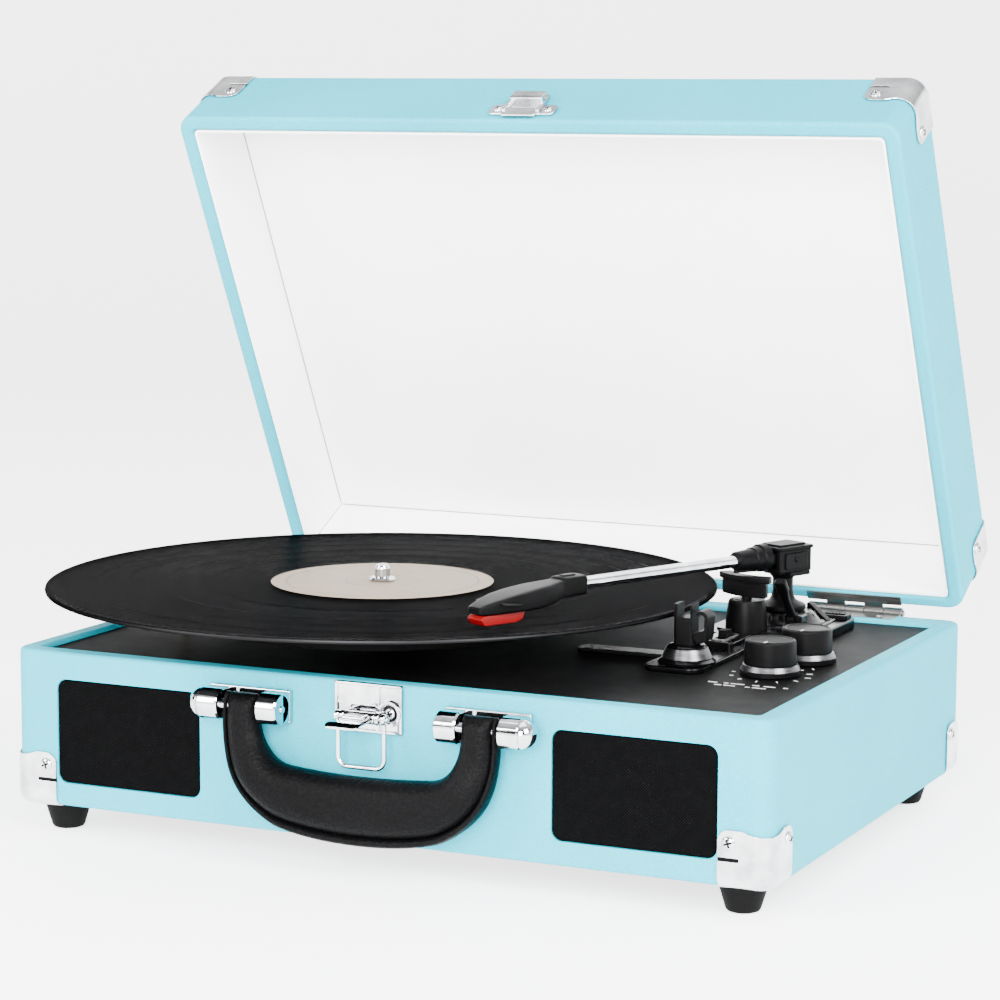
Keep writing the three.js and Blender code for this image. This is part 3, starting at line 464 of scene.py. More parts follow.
def bent_wire(points, radius, sides=16):
    """A round wire along a row of points."""
    points = [Vector(p) for p in points]
    rings = []
    for i, point in enumerate(points):
        along = (points[min(i + 1, len(points) - 1)] - points[max(i - 1, 0)]).normalized()
        side = along.cross(Vector((0, 1, 0))).normalized()
        over = side.cross(along)
        rings.append([point + radius * (side * math.cos(a) + over * math.sin(a))
                      for a in (math.tau * k / sides for k in range(sides))])
    return loft(rings)


def joined(*parts):
    whole = bmesh.new()
    for part in parts:
        scratch = bpy.data.meshes.new("scratch")
        part.to_mesh(scratch)
        part.free()
        whole.from_mesh(scratch)
        bpy.data.meshes.remove(scratch)
    return whole


def moved(bm, *matrices):
    for matrix in matrices:
        bmesh.ops.transform(bm, matrix=matrix, verts=bm.verts)
    return bm


def shifted(bm, x, y, z):
    return moved(bm, Matrix.Translation((x, y, z)))


def scratch_shape(bm):
    mesh = bpy.data.meshes.new("scratch")
    bmesh.ops.recalc_face_normals(bm, faces=bm.faces)
    bm.to_mesh(mesh)
    bm.free()
    return put_in_scene("scratch", mesh)


def cut(body, *tools):
    """The body with each tool taken out of it."""
    for tool in tools:
        shape, cutter = scratch_shape(body), scratch_shape(tool)
        carve = shape.modifiers.new("carve", "BOOLEAN")
        carve.operation = "DIFFERENCE"
        carve.solver = "EXACT"
        carve.object = cutter
        bpy.context.view_layer.update()
        done = shape.evaluated_get(bpy.context.evaluated_depsgraph_get())
        body = bmesh.new()
        body.from_mesh(done.data)
        for used in (shape, cutter):
            mesh = used.data
            bpy.data.objects.remove(used)
            bpy.data.meshes.remove(mesh)
        bmesh.ops.remove_doubles(body, verts=body.verts, dist=1e-4)
        bmesh.ops.dissolve_degenerate(body, edges=body.edges, dist=1e-4)
    return body


def smooth_by_area(mesh, crease):
    """Smooths the shading across gentle edges, letting large faces keep their own direction."""
    corners, faces = len(mesh.loops), len(mesh.polygons)
    point = numpy.empty(corners, numpy.int32)
    sides = numpy.empty(faces, numpy.int32)
    areas = numpy.empty(faces, numpy.float32)
    facing_way = numpy.empty(faces * 3, numpy.float32)
    mesh.loops.foreach_get("vertex_index", point)
    mesh.polygons.foreach_get("loop_total", sides)
    mesh.polygons.foreach_get("area", areas)
    mesh.polygons.foreach_get("normal", facing_way)
    face = numpy.repeat(numpy.arange(faces), sides)
    order = numpy.argsort(point, kind="stable")
    point = point[order]
    way = facing_way.reshape(-1, 3)[face[order]]
    pull = way * areas[face[order]][:, None]
    total = pull.copy()
    limit = math.cos(math.radians(crease))
    for step in range(1, numpy.bincount(point).max()):
        near = (point[step:] == point[:-step]) & ((way[step:] * way[:-step]).sum(1) > limit)
        total[:-step][near] += pull[step:][near]
        total[step:][near] += pull[:-step][near]
    total /= numpy.maximum(numpy.linalg.norm(total, axis=1), 1e-30)[:, None]
    result = numpy.empty_like(total)
    result[order] = total
    mesh.normals_split_custom_set(result.tolist())


def smooth_mesh(name, bm, finish):
    bmesh.ops.recalc_face_normals(bm, faces=bm.faces)
    mesh = bpy.data.meshes.new(name)
    bm.to_mesh(mesh)
    bm.free()
    mesh.polygons.foreach_set("use_smooth", [True] * len(mesh.polygons))
    mesh.materials.append(finish)
    return mesh


def piece(name, bm, body, finish, place=CASE, instead_of=None, crease=38):
    """Places a finished shape in the frame, hangs it on its body and names its finish."""
    mesh = smooth_mesh(name, moved(bm, place), finish)
    smooth_by_area(mesh, crease)
    shape = put_in_scene(name, mesh)
    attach(shape, body)
    if instead_of:
        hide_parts(instead_of)


SIDES = (("left", -1), ("right", 1))
CORNERS = (("front_left", -1, -1), ("front_right", 1, -1), ("rear_left", -1, 1), ("rear_right", 1, 1))


def screw(radius, height):
    """A domed cross-head screw, its head standing on z = 0."""
    dome = [(0, 0), (radius, 0), (radius, 0.15)]
    dome += [(radius * math.cos(a), 0.15 + height * math.sin(a))
             for a in (math.radians(d) for d in (15, 30, 45, 60, 75))]
    dome += [(0, height + 0.15)]
    head = turned(dome, 28)
    for turn in (0, 90):
        slot = block((-radius * 0.66, -radius * 0.17, height * 0.35),
                     (radius * 0.66, radius * 0.17, height * 2), 0)
        head = cut(head, moved(slot, Matrix.Rotation(math.radians(turn + 20), 4, "Z")))
    return head


def facing(direction):
    return Vector(direction).to_track_quat("Z", "Y").to_matrix().to_4x4()


def screws(name, places, radius, body, place=CASE, finish=CHROME):
    """Screw heads at (point, direction) places as one piece, and black bars of painted shade in their cross
    recesses as another.
    """
    heads, cross_shades = [], []
    for point, direction in places:
        upright = facing(direction)
        heads.append(moved(screw(radius, radius * 0.4), upright, Matrix.Translation(point)))
        # Each cross recess gets two thin black bars: painted shade that makes the recess read deep and
        # dark.
        for turn in (20, 110):
            arm = block((-radius * 0.6, -radius * 0.12, radius * 0.1),
                        (radius * 0.6, radius * 0.12, radius * 0.3), 0)
            cross_shades.append(moved(arm, Matrix.Rotation(math.radians(turn), 4, "Z"), upright,
                                 Matrix.Translation(point)))
    piece(f"{name}_crosses", joined(*cross_shades), body, GLOSS_BLACK, place)
    piece(name, joined(*heads), body, finish, place, crease=30)


# ---------------------------------------------------------------- case

def make_case():
    shell = slab((-HALF_W, -HALF_D, CASE_BOTTOM_Z), (HALF_W, HALF_D, 77.7), CORNER_R, 0, 10)
    shell = cut(shell, slab((-165.8, -115.8, 9), (165.8, 110, 80), 1.2, 0, 4))
    windows = [moved(slab((x - 35.5, SPEAKER_Z - 22.7, 112), (x + 35.5, SPEAKER_Z + 22.7, 130), 4.5),
                     UPRIGHT)
               for x in (-SPEAKER_X, SPEAKER_X)]
    shell = cut(shell, *windows, block((64, 108, 28), (126, 128, 52), 0))
    ease_where(shell, lambda p: p.z > 77.6, 1.9, 5)
    ease_where(shell, lambda p: p.z < 10.1 and max(abs(p.x) - 165.9, abs(p.y) - 115.9) > 0, 1.6, 3)
    ease_where(shell, lambda p: p.y < -124.9 and 15 < p.z < 70, 0.7, 2)
    ease_where(shell, lambda p: p.y > 124.9 and 15 < p.z < 70, 0.5, 2)
    piece("case_shell", shell, "base", LEATHERETTE, instead_of="base_case")
    for side, s in SIDES:
        x = s * SPEAKER_X
        cloth = slab((x - 35.2, 20.6, 122.1), (x + 35.2, 65.4, 124.6), 4.2, 0.5)
        piece(f"speaker_cloth_{side}", moved(cloth, UPRIGHT), "base", WEAVE,
              instead_of=f"speaker_grille_{side}")


def make_feet():
    low = CASE_BOTTOM_Z - FOOT_H
    profile = [(0, low), (5.6, low), (6.6, low + 0.4), (7.2, low + 1.3), (10.2, 8.4), (10.4, 9.2),
               (10.2, 9.9), (0, 9.9)]
    for where, sx, sy in CORNERS:
        foot = turned(profile, 48, Matrix.Translation((sx * 158, -109 if sy < 0 else 98, 0)))
        piece(f"rubber_foot_{where}", foot, "base", RUBBER, instead_of=f"foot_{where}")


def corner_shell(reliefs):
    """A pressed metal corner with its tip at the origin: flaps run along -X, +Y and +Z from it."""
    tip = block((-26, 0, 0), (0, 26, 26), 0)
    upright = [e for e in tip.edges if all(v.co.x > -1 and v.co.y < 1 for v in e.verts)]
    bevel(tip, upright, 9, 8)
    rims = [e for e in tip.edges if all(v.co.z < 0.01 for v in e.verts)
            and all(v.co.x > -25.9 or v.co.y < 0.01 for v in e.verts)
            and all(v.co.y < 25.9 or v.co.x > -0.01 for v in e.verts)
            and any(v.co.x > -25.9 for v in e.verts) and any(v.co.y < 25.9 for v in e.verts)]
    bevel(tip, rims, 5.0, 6)
    inner = [f for f in tip.faces if f.calc_center_median().x < -25.9 or f.calc_center_median().y > 25.9
             or f.calc_center_median().z > 25.9]
    bmesh.ops.delete(tip, geom=inner, context="FACES")
    bmesh.ops.recalc_face_normals(tip, faces=tip.faces)
    if sum(f.normal.dot(f.calc_center_median() - Vector((-26, 26, 26))) for f in tip.faces) < 0:
        bmesh.ops.reverse_faces(tip, faces=tip.faces)
    bmesh.ops.solidify(tip, geom=tip.faces, thickness=0.8)
    reach, tall = 23.0, 24.2
    tools = [block((-40, -5, -5), (-reach, 40, 40), 0), block((-40, reach, -5), (5, 40, 40), 0),
             block((-40, -5, tall), (5, 40, 40), 0),
             rod((-50, 50, 42), (6, -6, 42), 20, soft=0.01, steps=96)]
    for corner in ((-reach, 0), (0, reach)):
        ear = block((corner[0] - 5, corner[1] - 5, tall - 4.9), (corner[0] + 5, corner[1] + 5, 30), 0)
        along = Vector((1, 0, 0)) if corner[0] else Vector((0, -1, 0))
        middle = Vector((corner[0], corner[1], tall - 5.1)) + along * 5
        across = Vector((-along.y, along.x, 0)) * 9
        tools.append(cut(ear, rod(middle - across, middle + across, 5.1, soft=0.01, steps=40)))
    tools += [rod((x, y, -3), (x, y, 3), r, soft=0.01, steps=48) for x, y, r in reliefs]
    tools.append(block((-24, -2, 11.6), (-14.0, 2, 13.0), 0))
    shell = cut(tip, *tools)
    return ease(shell, 0.18, 1, 60)


def cap_place(sx, sy, up, x, y, z):
    return Matrix.Translation((sx * x, y, z)) @ Matrix.Diagonal((sx, -sy, up, 1))


def make_corner_caps():
    sets = (("case", "base_corner", "base", CASE, 1, 8.9, 0),
            ("lid", "lid_corner", "lid", LID, -1, 44.3, -HINGE_Y))
    for label, packed, body, place, up, face, slide in sets:
        for where, sx, sy in CORNERS:
            foot_y = 17.1 if sy < 0 else 28.1
            reliefs = [(-18.1, foot_y, 11.8)] if label == "case" else [(-21.6, 21.6, 15)]
            to_corner = cap_place(sx, sy, up, 176.1, sy * 126.1 + slide, face)
            cap = moved(corner_shell(reliefs), to_corner)
            piece(f"{label}_corner_{where}", cap, body, CHROME, place, f"{packed}_{where}",
                  crease=50)
            # A thin black strip behind each cap's slot is painted shade in the gap.
            shadow = moved(block((-23.0, 0.82, 10.9), (-13.0, 1.0, 13.7), 0), to_corner)
            piece(f"{label}_corner_slot_shade_{where}", shadow, body, SATIN_BLACK, place)
            heads = [((-18.2, 0, 18.9), (0, -1, 0)), ((0, 18.2, 18.9), (1, 0, 0))]
            heads = [(to_corner @ Vector(p), to_corner.to_3x3() @ Vector(d)) for p, d in heads]
            screws(f"{label}_corner_screws_{where}", heads, 2.9, body, place)


def make_lid():
    shell = slab((-HALF_W, -254.4, 0.3), (HALF_W, -4.4, 43.2), CORNER_R, 0, 10)
    shell = cut(shell, slab((-168, -247.4, -1), (168, -10.1, 41.1), 2.5, 0, 5))
    ease_where(shell, lambda p: p.z > 43.1, 3.2, 6)
    ease_where(shell, lambda p: p.z < 0.31, 1.9, 4)
    piece("lid_shell", shell, "lid", LEATHERETTE, LID, "lid_case")
    lining = slab((-167.7, -247.1, 1.4), (167.7, -10.4, 40.8), 2.2, 0, 5)
    lining = cut(lining, slab((-166.7, -246.1, -1), (166.7, -11.4, 39.8), 2, 0, 5))
    ease_where(lining, lambda p: 39.7 < p.z < 39.9, 1.4, 3)
    piece("lid_lining", lining, "lid", LINING, LID, "lid_liner")
    # Thin grey rods along the lining's inner corners are painted shade where its walls and panel meet.
    xs, ys, z = (-166.2, 166.2), (-245.6, -11.9), 39.3
    corner_shades = [rod((xs[0], y, z), (xs[1], y, z), 0.28, soft=0.05, steps=10) for y in ys]
    corner_shades += [rod((x, ys[0], z), (x, ys[1], z), 0.28, soft=0.05, steps=10) for x in xs]
    corner_shades += [rod((x, y, 2), (x, y, z), 0.28, soft=0.05, steps=10) for x in xs for y in ys]
    piece("lining_corner_shades", joined(*corner_shades), "lid", LINING_CORNER_SHADE, LID)


def make_catch():
    face = -254.7
    parts = [slab((-16, 4, -face), (16, 12.4, 1.2 - face), 2.2, 0.4),
             slab((-8.4, 1.2, 0.9 - face), (8.4, 21, 2.0 - face), 1.2, 0.4),
             slab((-8, 12.4, 1.2 - face), (8, 15, 4.6 - face), 0.8, 0.5),
             slab((-8, 12.6, 3.4 - face), (8, 19.4, 4.6 - face), 1.0, 0.5)]
    parts += [slab((x - 1, 4.6, 1 - face), (x + 1, 13, 2.8 - face), 0.7, 0.5) for x in (-8.2, 8.2)]
    piece("lid_catch_plate", moved(joined(*parts), UPRIGHT), "lid", CHROME, LID, "lid_catch")
    screws("lid_catch_screws", [((x, face - 1.2, 8.2), (0, -1, 0)) for x in (-12.2, 12.2)], 2.2, "lid", LID)


def make_hinges():
    fifth = HINGE_LENGTH / 5
    for side, s in SIDES:
        left = s * HINGE_X - HINGE_LENGTH / 2
        lower = [slab((left, -16.4, -0.95), (left + HINGE_LENGTH, -4.4, -0.1), 1.0, 0.15)]
        upper = [slab((left, -9.0, 0.1), (left + HINGE_LENGTH, -4.4, 0.95), 0.6, 0.15)]
        for i in range(5):
            x = left + i * fifth + 0.15
            leaf, low, high = (lower, -0.95, -0.1) if i % 2 == 0 else (upper, 0.1, 0.95)
            leaf.append(block((x, -5.4, low), (x + fifth - 0.3, -1.2, high), 0.1, 1))
            leaf.append(rod((x, 0, 0), (x + fifth - 0.3, 0, 0), 2.6, soft=0.3))
        lower.append(rod((left - 0.7, 0, 0), (left + HINGE_LENGTH + 0.7, 0, 0), 1.5, soft=0.4))
        at_line = CASE @ Matrix.Translation((0, HINGE_Y, RIM_Z))
        piece(f"hinge_lower_{side}", joined(*lower), "base", NICKEL, at_line,
              f"hinge_base_leaf_{side}")
        piece(f"hinge_upper_{side}", joined(*upper), "lid", NICKEL, LID, f"hinge_lid_leaf_{side}")
        heads = [((left + x, -10.6, -0.15), (0, 0, 1)) for x in (8, 23, 38)]
        screws(f"hinge_screws_{side}", heads, 1.7, "base", at_line, NICKEL)


# ---------------------------------------------------------------- handle and latch

def mirrored(point):
    """The same point on the other side of the middle."""
    return Vector((-point.x, *point[1:]))


def along_bezier(points, t):
    while len(points) > 1:
        points = [a.lerp(b, t) for a, b in zip(points, points[1:])]
    return points[0]


def handle_edges(t):
    """Points on the grip's outer and inner outlines, from the left eye (t = 0) to the right one."""
    if t > 0.5:
        outer, inner = handle_edges(1 - t)
        return mirrored(outer), mirrored(inner)
    bend = 0.33
    if t < bend:
        u = t / bend
        outer = along_bezier([Vector(p) for p in ((-63, 0), (-64, -22), (-59, -38), (-38, -48))], u)
        inner = along_bezier([Vector(p) for p in ((-47, 0), (-47, -13), (-43, -21.8), (-32, -22.8))], u)
    else:
        u = (t - bend) / (1 - 2 * bend)
        outer = along_bezier([Vector(p) for p in ((-38, -48), (-20, -54.4), (20, -54.4), (38, -48))], u)
        inner = along_bezier([Vector(p) for p in ((-32, -22.8), (0, -25.8), (32, -22.8))], u)
    return outer, inner


def grip_half_depth(n, half):
    """Half the grip's depth at n, from -1 on the inner edge to 1 on the welted outer edge."""
    if n < 0.70:
        m = (n + 1) / 1.72 * 2 - 1
        return half * max(0.0, 1 - abs(m) ** 2.7) ** (1 / 2.2)
    bead = (n - 0.85) / 0.15
    return half * (0.16 + 0.4 * math.sqrt(max(0.0, 1 - bead * bead)))


def make_handle():
    heights = ([-math.cos(math.pi * k / 17) * 0.86 - 0.14 for k in range(17)]
               + [0.70, 0.74, 0.80, 0.86, 0.92, 0.97])
    rings = []
    for rise in (5.7, 5.2, 4.2, 2.6, 1.2):
        half = math.sqrt(5.9 ** 2 - rise ** 2)
        width = 8 - 0.5 * (rise / 5.7) ** 3
        rings.append((Vector((-HANDLE_X - width, rise)), Vector((-HANDLE_X + width, rise)), half))
    for k in range(73):
        outer, inner = handle_edges(k / 72)
        deep = min(1.0, max(0.0, (-(outer.y + inner.y) / 2 - 11) / 17))
        rings.append((outer, inner, 5.8 + 2.7 * deep * deep * (3 - 2 * deep)))
    for outer, inner, half in reversed(rings[:5]):
        rings.append((mirrored(outer), mirrored(inner), half))
    skins = []
    for outer, inner, half in rings:
        front, back = [], []
        for n in heights:
            spot = inner.lerp(outer, (n + 1) / 2)
            depth = grip_half_depth(n, half)
            front.append(Vector((spot.x, -depth, spot.y)))
            back.append(Vector((spot.x, depth, spot.y)))
        ends = Vector((inner.x, 0, inner.y)), Vector((outer.x, 0, outer.y))
        skins.append([ends[0]] + front + [ends[1]] + back[::-1])
    grip = loft(skins)
    bmesh.ops.recalc_face_normals(grip, faces=grip.faces)
    tilt = Matrix.Translation((0, *HANDLE_PIN)) @ Matrix.Rotation(math.radians(-2.2), 4, "X")
    piece("moulded_grip", moved(grip, tilt), "handle_grip", HANDLE_LEATHER,
          instead_of="handle_grip", crease=55)


def make_handle_brackets():
    y, z = HANDLE_PIN
    nose = [(0, 0), (6.3, 0), (6.5, 0.3), (6.5, 1.3), (5.7, 1.7), (5.7, 2.3), (6.4, 2.7), (6.3, 3.6),
            (5.6, 5.1), (4.3, 6.5), (2.5, 7.5), (0.9, 7.9), (0, 8.0)]
    for side, s in SIDES:
        x = s * HANDLE_X
        parts = [block((x - 19, -128.3, z - 7), (x + 19, -125.3, z + 7), 0.7)]
        for dx in (-14, 14):
            parts.append(block((x + dx - 4.8, y + 0.5, z - 6.4), (x + dx + 4.8, -126.5, z + 6.4), 0.6))
            parts.append(rod((x + dx - 4.8, y, z), (x + dx + 4.8, y, z), 6.6, soft=0.7, steps=48))
        inner_end = x - s * 18.8
        parts.append(rod((inner_end, y, z), (inner_end - s * 0.5, y, z), 1.7, soft=0.2))
        parts.append(rod((x - 16, y, z), (x + 16, y, z), 2.2))
        parts.append(turned(nose, 48, Matrix.Translation((x + s * 16.4, y, z)) @ facing((s, 0, 0))))
        piece(f"handle_mount_{side}", joined(*parts), "base", CHROME,
              instead_of=f"handle_bracket_{side}")


def make_latch():
    y, z = LATCH_PIN
    back = 125.3
    frame_parts = [slab((-15.5, 57, back), (15.5, 77.5, back + 0.9), 1.2, 0.25),
                   slab((3.6, 57.6, back + 0.5), (5.4, 77, back + 2.2), 0.8, 0.45)]
    edges = (((-15.5, 57), (-14.1, 77.5)), ((14.1, 57), (15.5, 77.5)),
             ((-15.5, 57), (15.5, 58.3)), ((-15.5, 76.2), (15.5, 77.5)))
    for low, high in edges:
        frame_parts.append(slab((*low, back), (*high, back + 1.9), 0.6, 0.4))
    parts = [moved(joined(*frame_parts), UPRIGHT)]
    dish = [(3.1, 0), (3.4, 0.9), (4.2, 1.6), (5.2, 1.5), (5.6, 0.5), (5.6, -0.4), (3.1, -0.4), (3.1, 0)]
    screw_place = Matrix.Translation((9.8, -back - 0.9, 65.6)) @ facing((0, -1, 0))
    parts.append(turned(dish, 40, screw_place))
    for s in (-1, 1):
        parts.append(block((s * 8 - 0.8, y, z - 2.6), (s * 8 + 0.8, -back, z + 2.6), 0.3))
        parts.append(rod((s * 8 - 0.8, y, z), (s * 8 + 0.8, y, z), 2.7, soft=0.2))
    parts.append(rod((-12.4, y, z), (12.4, y, z), 1.1))
    piece("latch_backplate", joined(*parts), "base", CHROME, instead_of="latch_plate")
    # A black disc under the latch screw is painted shade, showing as a dark ring in its dish.
    well = turned([(0, 0.02), (3.4, 0.02), (3.4, 0.3), (0, 0.3)], 40, screw_place)
    piece("latch_screw_shade_disc", well, "base", GLOSS_BLACK)
    screws("latch_screws", [((9.8, -back - 1.1, 65.6), (0, -1, 0))], 2.4, "base")

    blade = []
    stations = ((0, 6.2, 1.9, 0), (2.5, 6.3, 1.7, 0), (4, 7.2, 0.9, 0.1), (6, 8.0, 0.65, 0.2),
                (11, 8.2, 0.6, 0.3), (15, 8.0, 0.6, 0.1), (17.4, 7.4, 0.6, -0.5), (18.4, 6.6, 0.45, -1.1))
    for reach, width, thick, dip in stations:
        rim = []
        for k in range(24):
            a = math.tau * k / 24
            px, pz = math.cos(a), math.sin(a)
            stretch = 1 / max(abs(px), abs(pz)) * 0.35 + 0.65
            across, up = (min(1, max(-1, part * stretch * 1.05)) for part in (px, pz))
            rim.append(Vector((width * across, y - reach, z + dip + thick * up)))
        blade.append(rim)
    thumb = block((-4.6, y - 9, z + 0.6), (4.6, y - 2.2, z + 2.2), 0.75)
    lever = joined(loft(blade), thumb, rod((-6.8, y, z), (6.8, y, z), 2.5, soft=0.3))
    piece("latch_thumb_lever", lever, "latch_lever", CHROME, instead_of="latch_lever")

    half, drop, bend = 10.6, 20.8, 4
    corner = [Vector((half - bend + bend * math.cos(a), y, z - drop + bend - bend * math.sin(a)))
              for a in (math.radians(d) for d in range(0, 91, 10))]
    run = [Vector((half, y, z - 1)), Vector((half, y, z - 8))] + corner
    run += [mirrored(p) for p in reversed(run)]
    eyes = [rod((s * half - 0.95, y, z), (s * half + 0.95, y, z), 2.4, soft=0.3) for s in (-1, 1)]
    piece("latch_wire_loop", joined(bent_wire(run, 1.0), *eyes), "latch_wire", CHROME,
          instead_of="latch_wire")


# ---------------------------------------------------------------- platter and disc

def make_platter():
    top = RECORD_TOP_Z - 3.0
    rim = [(5, top), (5, top - 14.6), (13, top - 14.6), (13, top - 2.4), (78, top - 2.4), (78, top - 14.2),
           (80, top - 14.2),
           (80, top - 2.6), (94.5, top - 2.8), (94.5, top - 8.6), (96.6, top - 8.6), (97, top - 8.2),
           (97, top - 5.4),
           (96.5, top - 5.1), (96.5, top - 4.3), (97, top - 4.0), (97, top - 1.0), (96.1, top), (5, top)]
    piece("turntable_platter", turned(rim, 128, AT_SPINDLE), "platter", SATIN_BLACK,
          instead_of="platter", crease=30)
    mat = [(4, 96.3), (95, 96.3), (95, 96.9), (94.6, 97.2), (4, 97.2), (4, 96.3)]
    piece("felt_mat", turned(mat, 96, AT_SPINDLE), "platter", FELT, instead_of="slip_mat")
    pin = [(0, 63), (3.4, 63), (3.4, 83.4), (4.6, 83.4), (4.6, 95.6), (3.5, 95.6), (3.5, 104.6),
           (3.35, 105.4), (2.9, 106.4), (1.9, 107.0), (0, 107.2)]
    collar = [(3.4, 99.7), (5.6, 99.7), (5.9, 100.1), (5.4, 101.0), (3.4, 101.4), (3.4, 99.7)]
    piece("spindle_pin", joined(turned(pin, 40, AT_SPINDLE), turned(collar, 40, AT_SPINDLE)), "platter",
          CHROME, instead_of="spindle", crease=30)


def make_disc():
    low, top = RECORD_TOP_Z - 1.8, RECORD_TOP_Z
    edge = 150.3
    face = [(3.8, top - 0.1), (50.6, top - 0.1), (51.4, top - 0.32), (60, top - 0.32)]
    for gap in (78.5, 97, 114.5, 131):
        face += [(gap - 0.5, top - 0.32), (gap - 0.2, top - 0.36), (gap + 0.5, top - 0.36),
                 (gap + 0.8, top - 0.32)]
    face += [(146, top - 0.32), (147.4, top - 0.02), (edge - 0.7, top), (edge - 0.2, top - 0.25),
             (edge, top - 0.9)]
    under = [(edge - 0.2, low + 0.25), (edge - 0.7, low), (147, low), (146, low + 0.3), (51.4, low + 0.3),
             (50.6, low), (3.8, low), (3.8, top - 0.1)]
    piece("long_playing_disc", turned(face + under, 192, AT_SPINDLE), "platter", VINYL,
          instead_of="record", crease=25)
    paper = [(3.8, top), (49.8, top), (50, top + 0.1), (49.8, top + 0.18), (17.4, top + 0.18),
             (17, top + 0.1), (16, top + 0.1), (15.6, top + 0.18), (3.8, top + 0.18), (3.8, top)]
    piece("disc_label", turned(paper, 128, AT_SPINDLE), "platter", LABEL,
          instead_of="record_label", crease=20)


# ---------------------------------------------------------------- tonearm

def arc(middle, radius, start, end, steps):
    return [on_circle(middle, radius, start + (end - start) * k / steps) for k in range(steps + 1)]


def make_arm_base():
    z = DECK_Z + 0.05
    parts = [slab((82, 30, z), (134, 99, z + 5), 8, 1.0), slab((86, -44, z), (112, 40, z + 2.6), 6, 0.7),
             slab((44, -17, z), (100, -6, z + 2.2), 3, 0.6),
             slab((87, 36, z + 3), (129, 94, z + 5.9), 6, 0.8)]
    skirt = [(6, z), (19, z), (19, z + 6.2), (18.2, z + 6.8), (17, z + 7), (14.6, z + 9.6), (13, z + 11),
             (6, z + 11), (6, z)]
    parts.append(turned(skirt, 64, Matrix.Translation((*ARM_PIVOT, 0))))
    ridges = [rod((*on_circle(ARM_PIVOT, 16.4, a), z + 5), (*on_circle(ARM_PIVOT, 14, a), z + 10),
                  1.1, 0.8, 12)
              for a in (math.tau * k / 12 for k in range(12))]
    lx, ly, lz = LEVER_PIVOT
    lugs = [block((lx + dx, ly - 4, z + 3), (lx + dx + 3.2, ly + 4, lz + 2.2), 0.6) for dx in (-5.6, 2.4)]
    lugs.append(rod((lx - 5, ly, lz), (lx + 5, ly, lz), 1.2))
    wedge = [(-6, 0), (6, 0), (6, 1.4), (-4.6, 8.4), (-6, 8.4)]
    for wx, wy, turn in ((122, 78, -20), (97, 84, 25), (96, 48, 70)):
        fin = moved(outline_plate(wedge, -1.6, 1.6), UPRIGHT, Matrix.Rotation(math.radians(turn), 4, "Z"))
        parts.append(shifted(fin, wx, wy, z + 4.6))
    stop_slot = block((120.8, 85.8, z + 1), (131.2, 90.2, z + 10), 0)
    piece("arm_base", joined(*parts, *ridges, *lugs), "base", GLOSS_BLACK,
          instead_of="tonearm_base")
    guide = turned([(2.6, z + 4.6), (9.4, z + 4.6), (9.0, z + 12), (8.2, 93.6), (7.6, 94.8), (2.6, 94.8),
                    (2.6, z + 4.6)], 48,
                   Matrix.Translation((*STEM, 0)))
    web = outline_plate([(-16, 0), (-4, 0), (-4, 12), (-14, 3)], -1.8, 1.8, 0.4)
    moved(web, UPRIGHT, Matrix.Rotation(STEM_AZIMUTH, 4, "Z"), Matrix.Translation((*STEM, z + 4.6)))
    piece("lift_guide", joined(guide, web), "base", SATIN_BLACK)
    well = cut(slab((119, 84, z + 4.8), (133, 92, z + 7), 1.4, 0.5), stop_slot)
    piece("stop_switch_surround", well, "base", SATIN_BLACK)
    housing = slab((93, 3, z), (109, 27, z + 6), 2, 0.7)
    piece("speed_switch_housing", cut(housing, slab((98.4, 7, z + 1), (103.6, 23, z + 12), 1)), "base",
          GLOSS_BLACK)
    trim = cut(slab((97.4, 6, z + 5.9), (104.6, 24, z + 6.5), 1.6, 0.15),
               slab((98.5, 7.1, z), (103.5, 22.9, z + 12), 1))
    piece("speed_switch_trim", trim, "base", NICKEL)


def make_arm_rest():
    x, y = 102, -32
    z = DECK_Z + 2.9
    foot = [(0, z), (11.6, z), (12.3, z + 0.3), (12.4, z + 1.2), (11.4, z + 1.8), (10.6, z + 2.2),
            (9.2, z + 5.4), (8.6, z + 7), (7.6, z + 7.9), (5.6, z + 8.3), (0, z + 8.3)]
    piece("rest_foot", turned(foot, 64, Matrix.Translation((x, y, 0))), "base", GLOSS_BLACK,
          instead_of="tonearm_rest")
    band = [(8.0, z + 2.6), (10.75, z + 2.6), (9.5, z + 5.4), (8.9, z + 6.7), (8.0, z + 6.7),
            (8.0, z + 2.6)]
    piece("rest_foot_band", turned(band, 64, Matrix.Translation((x, y, 0))), "base", SPUN_ALUMINIUM)
    post = slab((x - 5, y - 4.4, z + 7.6), (x + 5, y + 4.4, 104.2), 2.4, 0.5, 6)
    post = cut(post, slab((x - 2.9, y - 9, 98.6), (x + 2.9, y + 9, 110), 1.6),
               block((x + 3.7, y - 9, 92.2), (x + 8, y + 9, 110), 0))
    clamp = block((x + 2.6, y - 2.4, z + 9), (x + 7.2, y + 2.4, z + 13.4), 0.5)
    pin = rod((x + 7.4, y - 4.2, z + 12.4), (x + 7.4, y + 4.2, z + 12.4), 1.3)
    piece("rest_post", joined(ease(post, 0.3, 2, 60), clamp, pin), "base", SATIN_BLACK)
    px, pz = x + 7.4, z + 12.4
    outer = arc((px, pz), 3.1, math.radians(195), math.radians(350), 10)
    outer += arc((px + 0.4, pz + 7.6), 3.2, 0, math.radians(150), 12)
    inner = (arc((px + 0.4, pz + 7.4), 1.7, math.radians(140), 0, 10)
             + [(px + 1.9, pz + 2.6), (px - 2.2, pz + 1.4)])
    hook = moved(outline_plate(outer + inner, -4.6, 4.6, 0.35), UPRIGHT)
    piece("transport_clip", shifted(hook, 0, y, 0), "rest_clip", SATIN_BLACK,
          instead_of="rest_clip")


